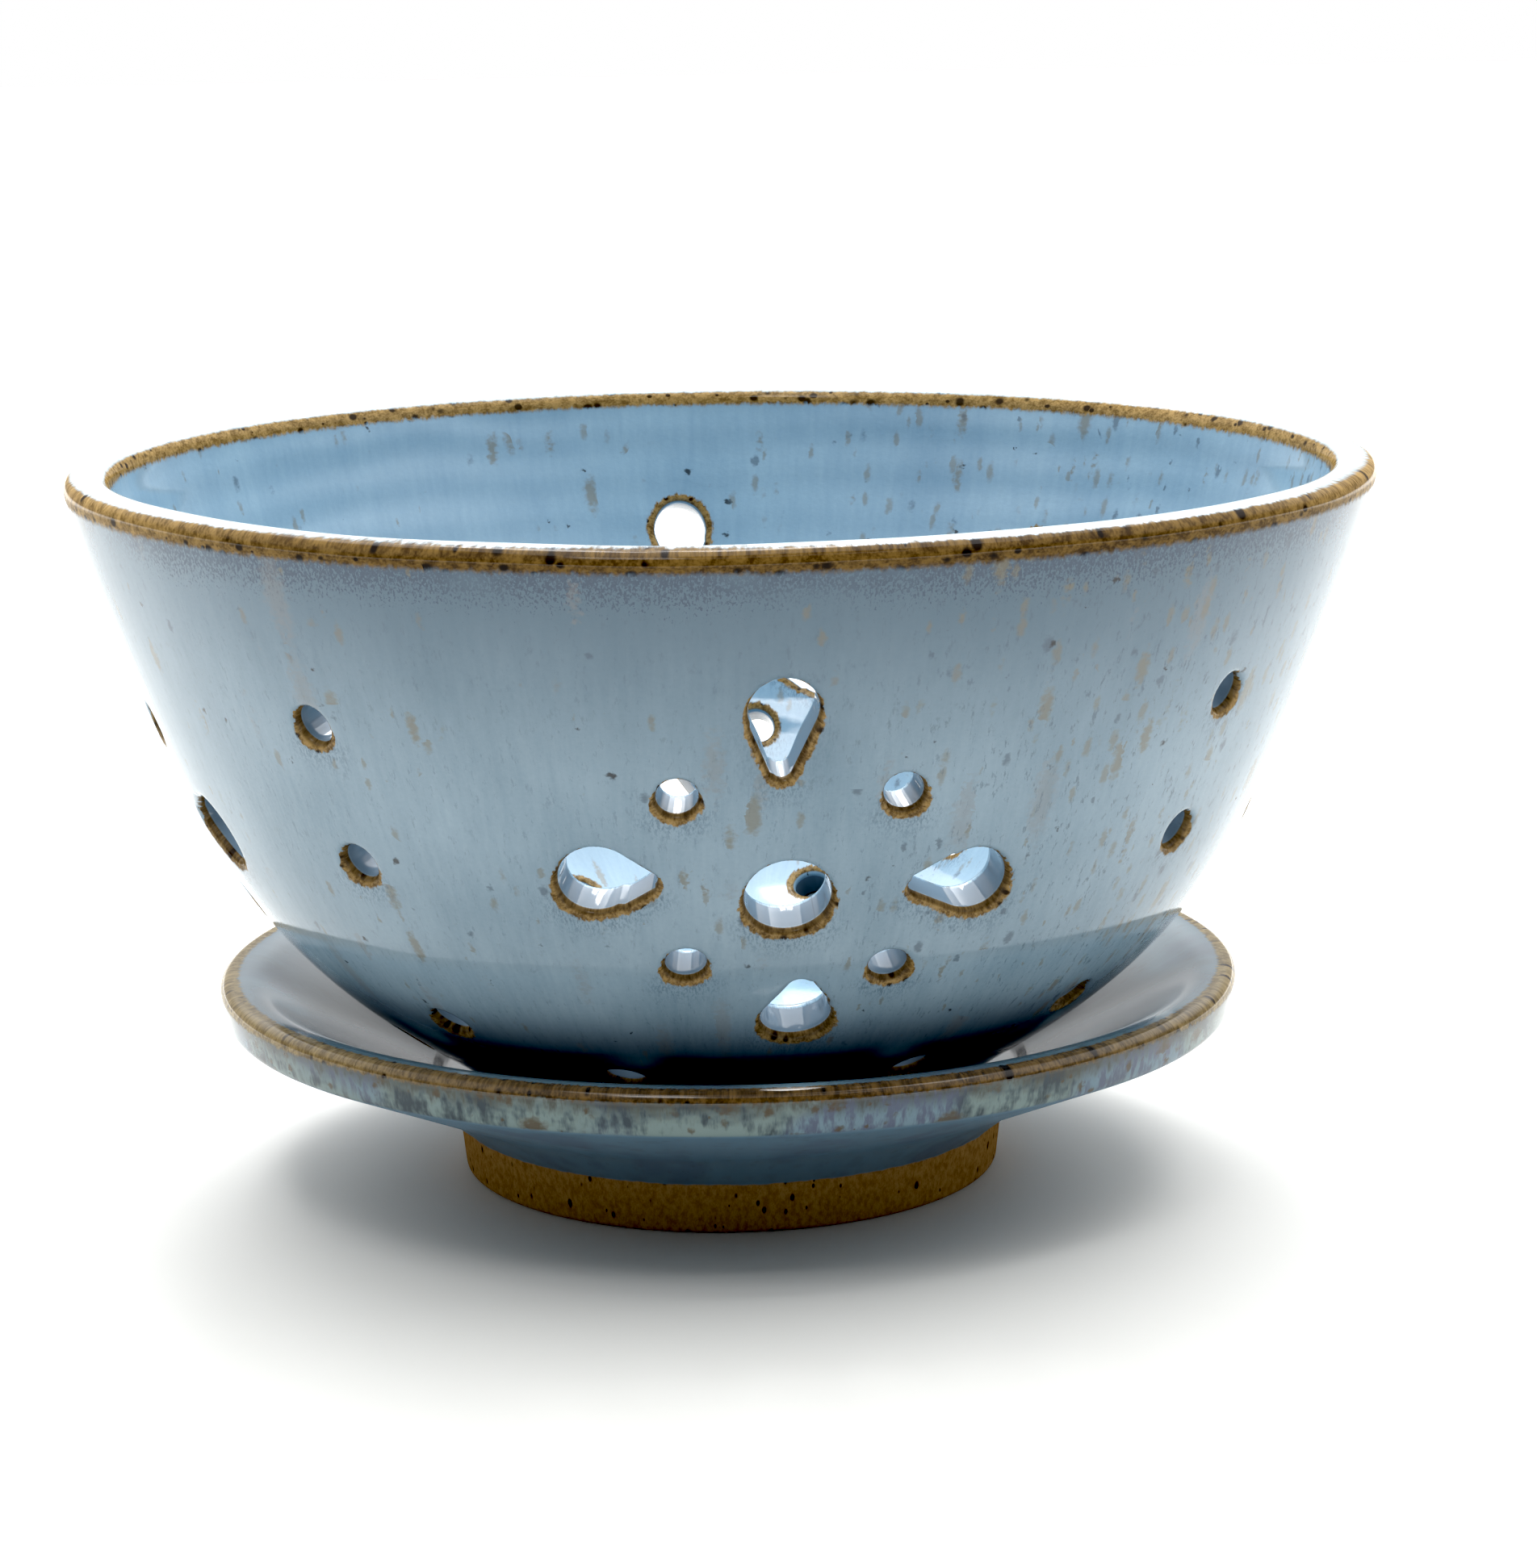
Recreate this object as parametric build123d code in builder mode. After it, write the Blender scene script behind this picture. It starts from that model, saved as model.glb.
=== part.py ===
"""Berry colander bowl: a pierced stoneware bowl standing in its drip saucer.

Millimetres, +Z up. The origin is the middle of the circle on which the saucer stands,
and one flower of holes faces -Y.
"""

import os
from math import asin, cos, radians, sin, sqrt, tan

from build123d import *

# Saucer: a shallow dish on a turned foot, with a sunken seat for the bowl
saucer_rim_diameter = 131.8
saucer_height = 26.8
saucer_rim_face = 5.5
saucer_rim_slant = 1.1
saucer_rim_width = 4.6
saucer_foot_diameter = 69.2
saucer_foot_taper = 0.75
saucer_foot_height = 6.6
saucer_foot_ring = 6.4
saucer_collar_radius = 0.6
saucer_bend_diameter = 82.0
saucer_bend_height = 11.0
saucer_bend_radius = 16.0
saucer_recess_depth = 5.6
saucer_floor = 6.4
saucer_edge_radius = 1.5
seat_depth = 1.8
seat_play = 3.6
seat_slant = 1.2
seat_edge_radius = 0.9

# Bowl: heights are measured from its own foot, to the rim's outer edge, from which the rim's top
# rises inwards; swells go outwards from the foot's edge, the flare's inset and drop start from the
# rim's outer edge, and leans are degrees from upright
bowl_rim_diameter = 165.9
bowl_height = 80.1
bowl_wall = 5.3
bowl_rim_width = 5.6
bowl_rim_rise = 0.7
bowl_rim_outer_radius = 1.7
bowl_rim_inner_radius = 2.6
bowl_rim_lean = 12.3
bowl_foot_diameter = 67.8
bowl_foot_ring = 5.6
bowl_foot_height = 2.7
bowl_foot_lean = 57.3
bowl_recess_depth = 3.2
bowl_floor = 5.0
bowl_floor_diameter = 34.0
belly_swell = 16.8
belly_height = 14.7
shoulder_swell = 28.25
shoulder_height = 27.7
flare_inset = 8.5
flare_drop = 26.3
foot_edge_radius = 1.0

# Piercing: distances are measured along the outside of the wall
flower_count = 4
flower_drop = 43.4
petal_reach = 20.7
petal_diameter = 8.8
petal_length = 12.3
petal_tip_radius = 1.2
heart_diameter = 10.2
dot_diameter = 4.9
dot_reach = 17.4
column_drops = (24.0, 42.7, 69.8)
drain_rise = 14.0
cut_overrun = 4.0

# Places that follow from the sizes above
seat_height = saucer_recess_depth + saucer_floor
saucer_rim_radius = saucer_rim_diameter / 2
saucer_foot_radius = saucer_foot_diameter / 2
saucer_ring_radius = saucer_foot_radius - saucer_foot_ring
seat_radius = bowl_foot_diameter / 2 + seat_play
bowl_rim_radius = bowl_rim_diameter / 2
bowl_foot_radius = bowl_foot_diameter / 2
bowl_ring_radius = bowl_foot_radius - bowl_foot_ring
bowl_floor_height = bowl_recess_depth + bowl_floor
flower_turn = 360 / flower_count
column_turn = flower_turn / 2
drain_turn = flower_turn / 4

# The bowl's half section stands midway between a drain and a column, so its seam meets no hole
seam_turn = radians((drain_turn + column_turn) / 2)
bowl_section = Plane(
    origin=(0, 0, seat_height),
    x_dir=(sin(seam_turn), -cos(seam_turn), 0),
    z_dir=(-cos(seam_turn), -sin(seam_turn), 0),
)


def rounding(radius, before, corner, after):
    """This radius for a corner, or as much of it as half of the shorter side has room for."""
    side_in = Vector(*corner) - Vector(*before)
    side_out = Vector(*after) - Vector(*corner)
    half_turn = radians(side_in.get_angle(side_out) / 2)
    return min(radius, min(side_in.length, side_out.length) / 2 / tan(half_turn))


# Drip saucer, turned from one half section whose corners are rounded
saucer_corners = [
    ((saucer_ring_radius, saucer_recess_depth), foot_edge_radius),
    ((saucer_ring_radius, 0), foot_edge_radius),
    ((saucer_foot_radius, 0), foot_edge_radius),
    ((saucer_foot_radius + saucer_foot_taper, saucer_foot_height), saucer_collar_radius),
    ((saucer_bend_diameter / 2, saucer_bend_height), saucer_bend_radius),
    ((saucer_rim_radius - saucer_rim_slant, saucer_height - saucer_rim_face), saucer_edge_radius),
    ((saucer_rim_radius, saucer_height), saucer_edge_radius),
    ((saucer_rim_radius - saucer_rim_width, saucer_height), saucer_edge_radius),
    ((seat_radius + seat_slant, seat_height + seat_depth), seat_edge_radius),
    ((seat_radius, seat_height), seat_edge_radius),
]
saucer_points = [(0, saucer_recess_depth), *[corner for corner, radius in saucer_corners], (0, seat_height)]
saucer_radii = [
    rounding(radius, *saucer_points[index : index + 3])
    for index, (corner, radius) in enumerate(saucer_corners)
]
with BuildPart() as drip_saucer:
    with BuildSketch(Plane.XZ):
        with BuildLine():
            saucer_outline = FilletPolyline(*saucer_points, radius=saucer_radii)
            Line(saucer_outline @ 1, saucer_outline @ 0)
        make_face()
    revolve(axis=Axis.Z)
drip_saucer.part.label = "drip_saucer"


def leaning(lean):
    """Direction in a half section that leans outwards from upright by this many degrees."""
    return Vector(sin(radians(lean)), cos(radians(lean)))


# Outside of the bowl's wall, from the foot to the rim, as a line of its half section
with BuildLine():
    outer_wall = Spline(
        (bowl_foot_radius, bowl_foot_height),
        (bowl_foot_radius + belly_swell, belly_height),
        (bowl_foot_radius + shoulder_swell, shoulder_height),
        (bowl_rim_radius - flare_inset, bowl_height - flare_drop),
        (bowl_rim_radius, bowl_height),
        tangents=(leaning(bowl_foot_lean), leaning(bowl_rim_lean)),
    )


def inside_of(share):
    """Point of the bowl's inside, one wall in from this share of the outer wall."""
    along = outer_wall.tangent_at(share)
    return outer_wall.position_at(share) + Vector(-along.Y, along.X) * bowl_wall


# Shares of the outer wall, from the rim down, across which the wall keeps its thickness
even_wall_shares = (0.8, 0.6, 0.4, 0.2)

# Bowl before it is pierced, turned from one half section
with BuildPart() as turned_bowl:
    with BuildSketch(bowl_section) as bowl_profile:
        with BuildLine():
            foot_outline = FilletPolyline(
                (0, bowl_recess_depth),
                (bowl_ring_radius, bowl_recess_depth),
                (bowl_ring_radius, 0),
                (bowl_foot_radius, 0),
                outer_wall @ 0,
                radius=foot_edge_radius,
            )
            add(outer_wall)
            rim_top = Line(outer_wall @ 1, (bowl_rim_radius - bowl_rim_width, bowl_height + bowl_rim_rise))
            inner_wall = Spline(
                rim_top @ 1,
                *[inside_of(share) for share in even_wall_shares],
                (bowl_floor_diameter / 2, bowl_floor_height),
                tangents=(-leaning(bowl_rim_lean), (-1, 0)),
            )
            floor_top = Line(inner_wall @ 1, (0, bowl_floor_height))
            Line(floor_top @ 1, foot_outline @ 0)
        make_face()
        fillet(bowl_profile.vertices().sort_by_distance(rim_top @ 0)[0], bowl_rim_outer_radius)
        fillet(bowl_profile.vertices().sort_by_distance(rim_top @ 1)[0], bowl_rim_inner_radius)
    revolve(axis=Axis.Z)


def wall_plane(distance_up, turn, sideways=0, spin=0):
    """Plane lying on the outside of the bowl's wall, with its Z axis square out of the wall.

    The place is this far along the wall from the foot, this many degrees round from -Y
    towards +X, and then this far sideways along the wall. Without spin, the Y axis runs
    up the wall, and spin turns it anticlockwise as seen from outside, in degrees.
    """
    place = outer_wall.position_at(distance_up, PositionMode.LENGTH)
    along = outer_wall.tangent_at(distance_up, PositionMode.LENGTH)
    facing = radians(turn) + sideways / place.X
    outwards = Vector(sin(facing), -cos(facing), 0)
    level = Vector(cos(facing), sin(facing), 0)
    up_wall = outwards * along.X + Vector(0, 0, along.Y)
    return Plane(
        origin=outwards * place.X + Vector(0, 0, place.Y + seat_height),
        x_dir=level * cos(radians(spin)) + up_wall * sin(radians(spin)),
        z_dir=outwards * along.Y - Vector(0, 0, along.X),
    )


# One flower of holes with the column of holes and the drains beside it
flower_rise = outer_wall.length - flower_drop
petal_radius = petal_diameter / 2
petal_head = (petal_length - petal_diameter) / 2
petal_tip = petal_tip_radius - petal_length / 2
petal_taper = asin((petal_radius - petal_tip_radius) / (petal_head - petal_tip))
cut_depth = bowl_wall + 2 * cut_overrun

# The dots stand on the diagonals between the petals
dot_offset = dot_reach / sqrt(2)
round_holes = [(wall_plane(flower_rise, 0), heart_diameter)]
round_holes += [
    (wall_plane(flower_rise + up * dot_offset, 0, side * dot_offset), dot_diameter)
    for up in (-1, 1)
    for side in (-1, 1)
]
round_holes += [
    (wall_plane(outer_wall.length - drop, column_turn), dot_diameter) for drop in column_drops
]
round_holes += [(wall_plane(drain_rise, side * drain_turn), dot_diameter) for side in (-1, 1)]
petal_planes = [
    wall_plane(flower_rise + petal_reach, 0),
    wall_plane(flower_rise, 0, -petal_reach, spin=90),
    wall_plane(flower_rise - petal_reach, 0, spin=180),
    wall_plane(flower_rise, 0, petal_reach, spin=270),
]


def petal_edge(height, radius, side):
    """Point where a straight side of a petal touches the round end at this height."""
    return (side * radius * cos(petal_taper), height - radius * sin(petal_taper))


with BuildPart() as piercing:
    for hole_plane, diameter in round_holes:
        with BuildSketch(hole_plane.offset(cut_overrun)):
            Circle(diameter / 2)
        extrude(amount=-cut_depth)
    for petal_plane in petal_planes:
        with BuildSketch(petal_plane.offset(cut_overrun)):
            with BuildLine():
                head = ThreePointArc(
                    petal_edge(petal_head, petal_radius, 1),
                    (0, petal_length / 2),
                    petal_edge(petal_head, petal_radius, -1),
                )
                tip = ThreePointArc(
                    petal_edge(petal_tip, petal_tip_radius, -1),
                    (0, -petal_length / 2),
                    petal_edge(petal_tip, petal_tip_radius, 1),
                )
                Line(head @ 1, tip @ 0)
                Line(tip @ 1, head @ 0)
            make_face()
        extrude(amount=-cut_depth)

# Colander bowl: the turned bowl with the piercing repeated round it
with BuildPart() as colander_bowl:
    add(turned_bowl.part)
    with PolarLocations(0, flower_count):
        add(piercing.part, mode=Mode.SUBTRACT)
colander_bowl.part.label = "colander_bowl"

os.makedirs("parts", exist_ok=True)
export_step(drip_saucer.part, "parts/drip_saucer.step")
export_step(colander_bowl.part, "parts/colander_bowl.step")
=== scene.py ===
"""Looks of the berry colander bowl: a pierced, glazed stoneware bowl standing in its drip saucer.

Sizes are millimetres in the classes and metres in the meshes. +Z is up, the origin lies under the
middle of the saucer's foot, and one flower of holes faces -Y.
"""

import logging
import math
from dataclasses import dataclass, field
from enum import Enum
from functools import reduce

import bmesh
import bpy
import numpy as np
from mathutils import Matrix, Vector
from mathutils.geometry import delaunay_2d_cdt


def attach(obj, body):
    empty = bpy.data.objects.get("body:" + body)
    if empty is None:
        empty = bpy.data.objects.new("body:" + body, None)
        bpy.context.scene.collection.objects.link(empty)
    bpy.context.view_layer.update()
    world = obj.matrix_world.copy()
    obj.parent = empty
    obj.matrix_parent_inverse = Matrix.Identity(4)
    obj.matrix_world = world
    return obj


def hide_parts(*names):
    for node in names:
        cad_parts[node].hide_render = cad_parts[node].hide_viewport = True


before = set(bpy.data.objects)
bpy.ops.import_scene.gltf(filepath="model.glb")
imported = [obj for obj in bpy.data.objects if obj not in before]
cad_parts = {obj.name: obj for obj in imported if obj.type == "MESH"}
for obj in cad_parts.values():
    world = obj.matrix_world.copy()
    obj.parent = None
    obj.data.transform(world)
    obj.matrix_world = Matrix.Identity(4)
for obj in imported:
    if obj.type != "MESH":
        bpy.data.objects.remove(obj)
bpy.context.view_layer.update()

log = logging.getLogger("berry_bowl")
MM = 0.001
ON_AXIS = 1e-6
NOISE_MEAN = 0.5
FLOAT, COLOUR, VECTOR = "NodeSocketFloat", "NodeSocketColor", "NodeSocketVector"
Socket = bpy.types.NodeSocket
Reading = float | Socket


class Side(Enum):
    """The two faces of the bowl's wall."""

    OUTSIDE = 0
    INSIDE = 1


class Fact(Enum):
    """What each point of a thrown piece knows about its place, for the finishes."""

    LIP = "lip"
    LOW = "low"
    INSIDE = "inside"
    ALONG = "along"


def linear(red: int, green: int, blue: int) -> tuple[float, float, float, float]:
    """Turns a colour in screen values from 0 to 255 into linear light with full alpha.

    Args:
        red: Red, 0 to 255.
        green: Green, 0 to 255.
        blue: Blue, 0 to 255.

    Returns:
        The colour as Blender's sockets take it.
    """
    shares = [value / 255 for value in (red, green, blue)]
    light = [s / 12.92 if s <= 0.04045 else ((s + 0.055) / 1.055) ** 2.4 for s in shares]
    return (*light, 1.0)


def leaning(lean: float) -> np.ndarray:
    """Direction in a half section that leans outwards from upright by this many degrees."""
    return np.array([math.sin(math.radians(lean)), math.cos(math.radians(lean))])


class SmoothLine:
    """Smooth line through a few points of a half section, with its end directions given."""

    def __init__(self, knots: list, start: np.ndarray, end: np.ndarray, steps: int = 200) -> None:
        """Fits the line and measures it.

        Args:
            knots: Points (radius, height) that the line passes through.
            start: Unit direction at the first point.
            end: Unit direction at the last point.
            steps: Samples between two knots.
        """
        places = np.array(knots, float)
        spans = np.linalg.norm(np.diff(places, axis=0), axis=1)
        slopes = self.slopes_at(places, spans, start, end)
        share = np.linspace(0, 1, steps, endpoint=False)[:, None]
        pieces = []
        for index, span in enumerate(spans):
            near, far = places[index], places[index + 1]
            leave, arrive = slopes[index] * span, slopes[index + 1] * span
            pieces.append(
                (2 * share**3 - 3 * share**2 + 1) * near
                + (share**3 - 2 * share**2 + share) * leave
                + (3 * share**2 - 2 * share**3) * far
                + (share**3 - share**2) * arrive
            )
        self.points = np.vstack([*pieces, places[-1:]])
        steps_along = np.linalg.norm(np.diff(self.points, axis=0), axis=1)
        self.distances = np.concatenate([[0.0], np.cumsum(steps_along)])
        self.length = float(self.distances[-1])

    @staticmethod
    def slopes_at(
        places: np.ndarray, spans: np.ndarray, start: np.ndarray, end: np.ndarray
    ) -> np.ndarray:
        """Slopes at the knots that keep the bend of the line unbroken.

        Args:
            places: The knots.
            spans: Straight distances between neighbouring knots.
            start: Direction at the first knot.
            end: Direction at the last knot.

        Returns:
            One slope for each knot.
        """
        count = len(places)
        matrix = np.eye(count)
        right = np.zeros((count, 2))
        right[0], right[-1] = start, end
        for i in range(1, count - 1):
            before, after = spans[i - 1], spans[i]
            matrix[i, i - 1 : i + 2] = (after, 2 * (before + after), before)
            rise_before = (places[i] - places[i - 1]) / before
            rise_after = (places[i + 1] - places[i]) / after
            right[i] = 3 * (after * rise_before + before * rise_after)
        return np.linalg.solve(matrix, right)

    def at(self, distance: np.ndarray | float) -> np.ndarray:
        """Points this far along the line."""
        columns = [np.interp(distance, self.distances, self.points[:, axis]) for axis in (0, 1)]
        return np.stack(columns, axis=-1)

    def direction(self, distance: np.ndarray | float, reach: float = 0.25) -> np.ndarray:
        """Unit directions of the line.

        Args:
            distance: Distances along the line.
            reach: Distance on both sides over which a direction is measured.

        Returns:
            The directions.
        """
        ahead = np.clip(np.asarray(distance, float) + reach, 0, self.length)
        behind = np.clip(np.asarray(distance, float) - reach, 0, self.length)
        run = self.at(ahead) - self.at(behind)
        return run / np.linalg.norm(run, axis=-1, keepdims=True)


def rounded(corners: list, spacing: float, turn_step: float = 12.0) -> np.ndarray:
    """Outline through corners that are each rounded by a radius of their own.

    Args:
        corners: Pairs of a point (radius, height) and its rounding; the two end points have none.
        spacing: Largest distance between points on a straight run.
        turn_step: Largest turn between points on a rounding, in degrees.

    Returns:
        The points of the outline in order.
    """
    points = [np.array(corners[0][0], float)]
    for index in range(1, len(corners)):
        corner, radius = np.array(corners[index][0], float), corners[index][1]
        arc = [corner]
        if radius > 0:
            before = np.array(corners[index - 1][0], float)
            after = np.array(corners[index + 1][0], float)
            into = (corner - before) / np.linalg.norm(corner - before)
            out = (after - corner) / np.linalg.norm(after - corner)
            turn = math.atan2(into[0] * out[1] - into[1] * out[0], float(into @ out))
            side = np.array([-into[1], into[0]]) * math.copysign(1.0, turn)
            start = corner - into * radius * math.tan(abs(turn) / 2)
            middle = start + side * radius
            count = max(2, math.ceil(math.degrees(abs(turn)) / turn_step))
            arc = []
            for angle in np.linspace(0, turn, count + 1):
                spoke = start - middle
                arc.append(
                    middle
                    + math.cos(angle) * spoke
                    + math.sin(angle) * np.array([-spoke[1], spoke[0]])
                )
        run = arc[0] - points[-1]
        parts = max(1, math.ceil(np.linalg.norm(run) / spacing))
        first = points[-1]
        points += [first + run * part / parts for part in range(1, parts + 1)]
        points += arc[1:]
    return np.array(points)


def lengths_along(outline: np.ndarray) -> np.ndarray:
    """Distance along an outline at each of its points."""
    return np.concatenate([[0.0], np.cumsum(np.linalg.norm(np.diff(outline, axis=0), axis=1))])


class Panel:
    """A thrown piece, or one repeat of it, before it is turned: points as (turn, radius, height)."""

    def __init__(self) -> None:
        """Starts with no points."""
        self.places: list[np.ndarray] = []
        self.facts: dict[Fact, list[np.ndarray]] = {fact: [] for fact in Fact}
        self.faces: list[tuple[int, ...]] = []
        self.count = 0

    def add(self, turn: np.ndarray, section: np.ndarray, **facts: np.ndarray | float) -> np.ndarray:
        """Adds points and returns their numbers.

        Args:
            turn: Turn of each point from the front, in radians.
            section: Place (radius, height) of each point in the half section.
            **facts: Values of the facts, one for all points or one each.

        Returns:
            The numbers of the new points.
        """
        turn = np.asarray(turn, float)
        self.places.append(np.column_stack([turn, section[:, 0], section[:, 1]]))
        for fact in Fact:
            value = np.broadcast_to(np.asarray(facts.get(fact.value, 0.0), float), turn.shape)
            self.facts[fact].append(np.array(value))
        numbers = np.arange(self.count, self.count + len(turn))
        self.count += len(turn)
        return numbers

    def strip(self, first: np.ndarray, second: np.ndarray, closed: bool) -> None:
        """Joins two rows of as many points by quads.

        Args:
            first: Numbers of one row.
            second: Numbers of the other row.
            closed: Whether the rows are rings.
        """
        count = len(first)
        for i in range(count if closed else count - 1):
            j = (i + 1) % count
            self.faces.append((int(first[i]), int(first[j]), int(second[j]), int(second[i])))

    def band(self, turns: np.ndarray, outline: np.ndarray, inside: np.ndarray, lip: float) -> None:
        """Adds a plain turned band, closed to a pole where its outline reaches the axis.

        Its faces are wound as those of a pierced wall's inside, so that throwing marks move both alike.

        Args:
            turns: Turns of the columns, in radians.
            outline: Points (radius, height) of the band's line.
            inside: Value of the inside fact at each point.
            lip: Value of the lip fact, far from any hole.
        """
        rows = []
        for point, distance, within in zip(outline, lengths_along(outline), inside):
            facts = {"along": distance, "inside": within, "lip": lip}
            if point[0] < ON_AXIS:
                rows.append(self.add(np.zeros(1), np.array([[0.0, point[1]]]), **facts))
            else:
                rows.append(self.add(turns, np.tile(point, (len(turns), 1)), **facts))
        for lower, upper in zip(rows, rows[1:]):
            if len(lower) == 1 or len(upper) == 1:
                pole, ring = (lower, upper) if len(lower) == 1 else (upper, lower)
                self.faces += [(int(pole[0]), int(a), int(b)) for a, b in zip(ring, ring[1:])]
            else:
                self.strip(upper, lower, closed=False)

    def mesh(self, name: str) -> bpy.types.Mesh:
        """Makes the flat mesh, whose x, y and z are turn, radius and height.

        Args:
            name: Name of the mesh.

        Returns:
            The mesh, with the facts as attributes.
        """
        places = np.vstack(self.places)
        places[:, 1:] *= MM
        mesh = bpy.data.meshes.new(name)
        mesh.from_pydata(places.tolist(), [], self.faces)
        for fact, values in self.facts.items():
            attribute = mesh.attributes.new(fact.value, "FLOAT", "POINT")
            attribute.data.foreach_set("value", np.concatenate(values).astype(np.float32))
        return mesh


@dataclass(frozen=True)
class Grain:
    """A noise: its scale for each millimetre, its detail and its roughness."""

    scale: float
    detail: float = 2.0
    rough: float = 0.5


@dataclass(frozen=True)
class Spots:
    """Scattered spots: the size of their cells, how far they run down and how they are spread.

    The share is that of the cells with a spot, the spot its largest radius in a cell, and the cloud
    how much the share varies from place to place.
    """

    cell: float
    stretch: float
    share: float
    spot: float
    cloud: float


class NodeDesk:
    """Adds nodes to one tree and joins them, so that a recipe reads in short lines."""

    # Sockets of the mix node for each kind of data: share, first, second and result
    MIX_SOCKETS = {"RGBA": (0, 6, 7, 2), "FLOAT": (0, 2, 3, 0)}

    def __init__(self, tree: bpy.types.NodeTree) -> None:
        """Works on this tree."""
        self.tree = tree

    def node(self, kind: str, feeds: dict | None = None, **settings: object) -> bpy.types.Node:
        """Adds a node.

        Args:
            kind: Kind of the node.
            feeds: What goes into its inputs, by their names or numbers.
            **settings: Its other settings.

        Returns:
            The node.
        """
        made = self.tree.nodes.new(kind)
        for name, value in settings.items():
            setattr(made, name, value)
        for label, value in (feeds or {}).items():
            self.feed(made.inputs[label], value)
        return made

    def feed(self, socket: Socket, value: object) -> None:
        """Links a socket into another, or sets a plain value on it.

        Args:
            socket: The socket that takes the value.
            value: A socket of another node, or a plain value.
        """
        if isinstance(value, Socket):
            self.tree.links.new(value, socket)
        else:
            socket.default_value = value

    def math(self, operation: str, *values: Reading, clamp: bool = False) -> Socket:
        """Result of a sum on one to three values."""
        feeds = dict(enumerate(values))
        return self.node("ShaderNodeMath", feeds, operation=operation, use_clamp=clamp).outputs[0]

    def times(self, *values: Reading) -> Reading:
        """Product of all these values."""
        return reduce(lambda product, value: self.math("MULTIPLY", product, value), values)

    def vector(self, operation: str, *values: object) -> Socket:
        """Result of a sum on vectors, which is a number for a length or a dot product."""
        made = self.node("ShaderNodeVectorMath", dict(enumerate(values)), operation=operation)
        return made.outputs["Value" if operation in ("LENGTH", "DOT_PRODUCT") else "Vector"]

    def scaled(self, vector: Socket, scale: Reading) -> Socket:
        """A vector times a number."""
        feeds = {"Vector": vector, "Scale": scale}
        return self.node("ShaderNodeVectorMath", feeds, operation="SCALE").outputs["Vector"]

    def joined(self, **axes: Reading) -> Socket:
        """Vector with these values along X, Y and Z."""
        return self.node("ShaderNodeCombineXYZ", axes).outputs[0]

    def parted(self, vector: Socket) -> bpy.types.NodeOutputs:
        """Values of a vector along X, Y and Z."""
        return self.node("ShaderNodeSeparateXYZ", {0: vector}).outputs

    def ease(self, value: Reading, low: Reading, high: Reading) -> Socket:
        """Smooth step from 0 at low to 1 at high, where low may be the larger."""
        feeds = {"Value": value, "From Min": low, "From Max": high}
        return self.node("ShaderNodeMapRange", feeds, interpolation_type="SMOOTHSTEP").outputs["Result"]

    def mix(self, kind: str, share: Reading, first: object, second: object) -> Socket:
        """Value between two values of one kind.

        Args:
            kind: Kind of data, RGBA or FLOAT.
            share: 0 for the first value and 1 for the second.
            first: The first value.
            second: The second value.

        Returns:
            The value between them.
        """
        share_in, first_in, second_in, result = self.MIX_SOCKETS[kind]
        feeds = {share_in: share, first_in: first, second_in: second}
        return self.node("ShaderNodeMix", feeds, data_type=kind).outputs[result]

    def blend(self, share: Reading, first: object, second: object) -> Socket:
        """Colour between two colours."""
        return self.mix("RGBA", share, first, second)

    def between(self, share: Reading, first: Reading, second: Reading) -> Socket:
        """Number between two numbers."""
        return self.mix("FLOAT", share, first, second)

    def noise(self, place: Socket, grain: Grain) -> Socket:
        """Smooth noise from 0 to 1 at a place."""
        feeds = {"Vector": place, "Scale": grain.scale, "Detail": grain.detail, "Roughness": grain.rough}
        return self.node("ShaderNodeTexNoise", feeds).outputs[0]

    def swing(self, place: Socket, grain: Grain, reach: Reading) -> Socket:
        """Smooth noise about 0, as large as its reach."""
        return self.times(self.math("SUBTRACT", self.noise(place, grain), NOISE_MEAN), reach)

    def group(self, tree: bpy.types.NodeTree, **values: object) -> bpy.types.Node:
        """Places a shader group with these values on its inputs."""
        return self.node("ShaderNodeGroup", values, node_tree=tree)


def new_group(
    name: str, inputs: dict[str, str], outputs: dict[str, str], kind: str = "ShaderNodeTree"
) -> tuple:
    """Starts a node group with named sockets.

    Args:
        name: Name of the group.
        inputs: Socket kind of each input by its name.
        outputs: Socket kind of each output by its name.
        kind: Kind of tree.

    Returns:
        The tree, its desk, the readings of its inputs and its output node.
    """
    tree = bpy.data.node_groups.new(name, kind)
    for label, socket in inputs.items():
        tree.interface.new_socket(name=label, in_out="INPUT", socket_type=socket)
    for label, socket in outputs.items():
        tree.interface.new_socket(name=label, in_out="OUTPUT", socket_type=socket)
    desk = NodeDesk(tree)
    return tree, desk, desk.node("NodeGroupInput").outputs, desk.node("NodeGroupOutput")


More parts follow.
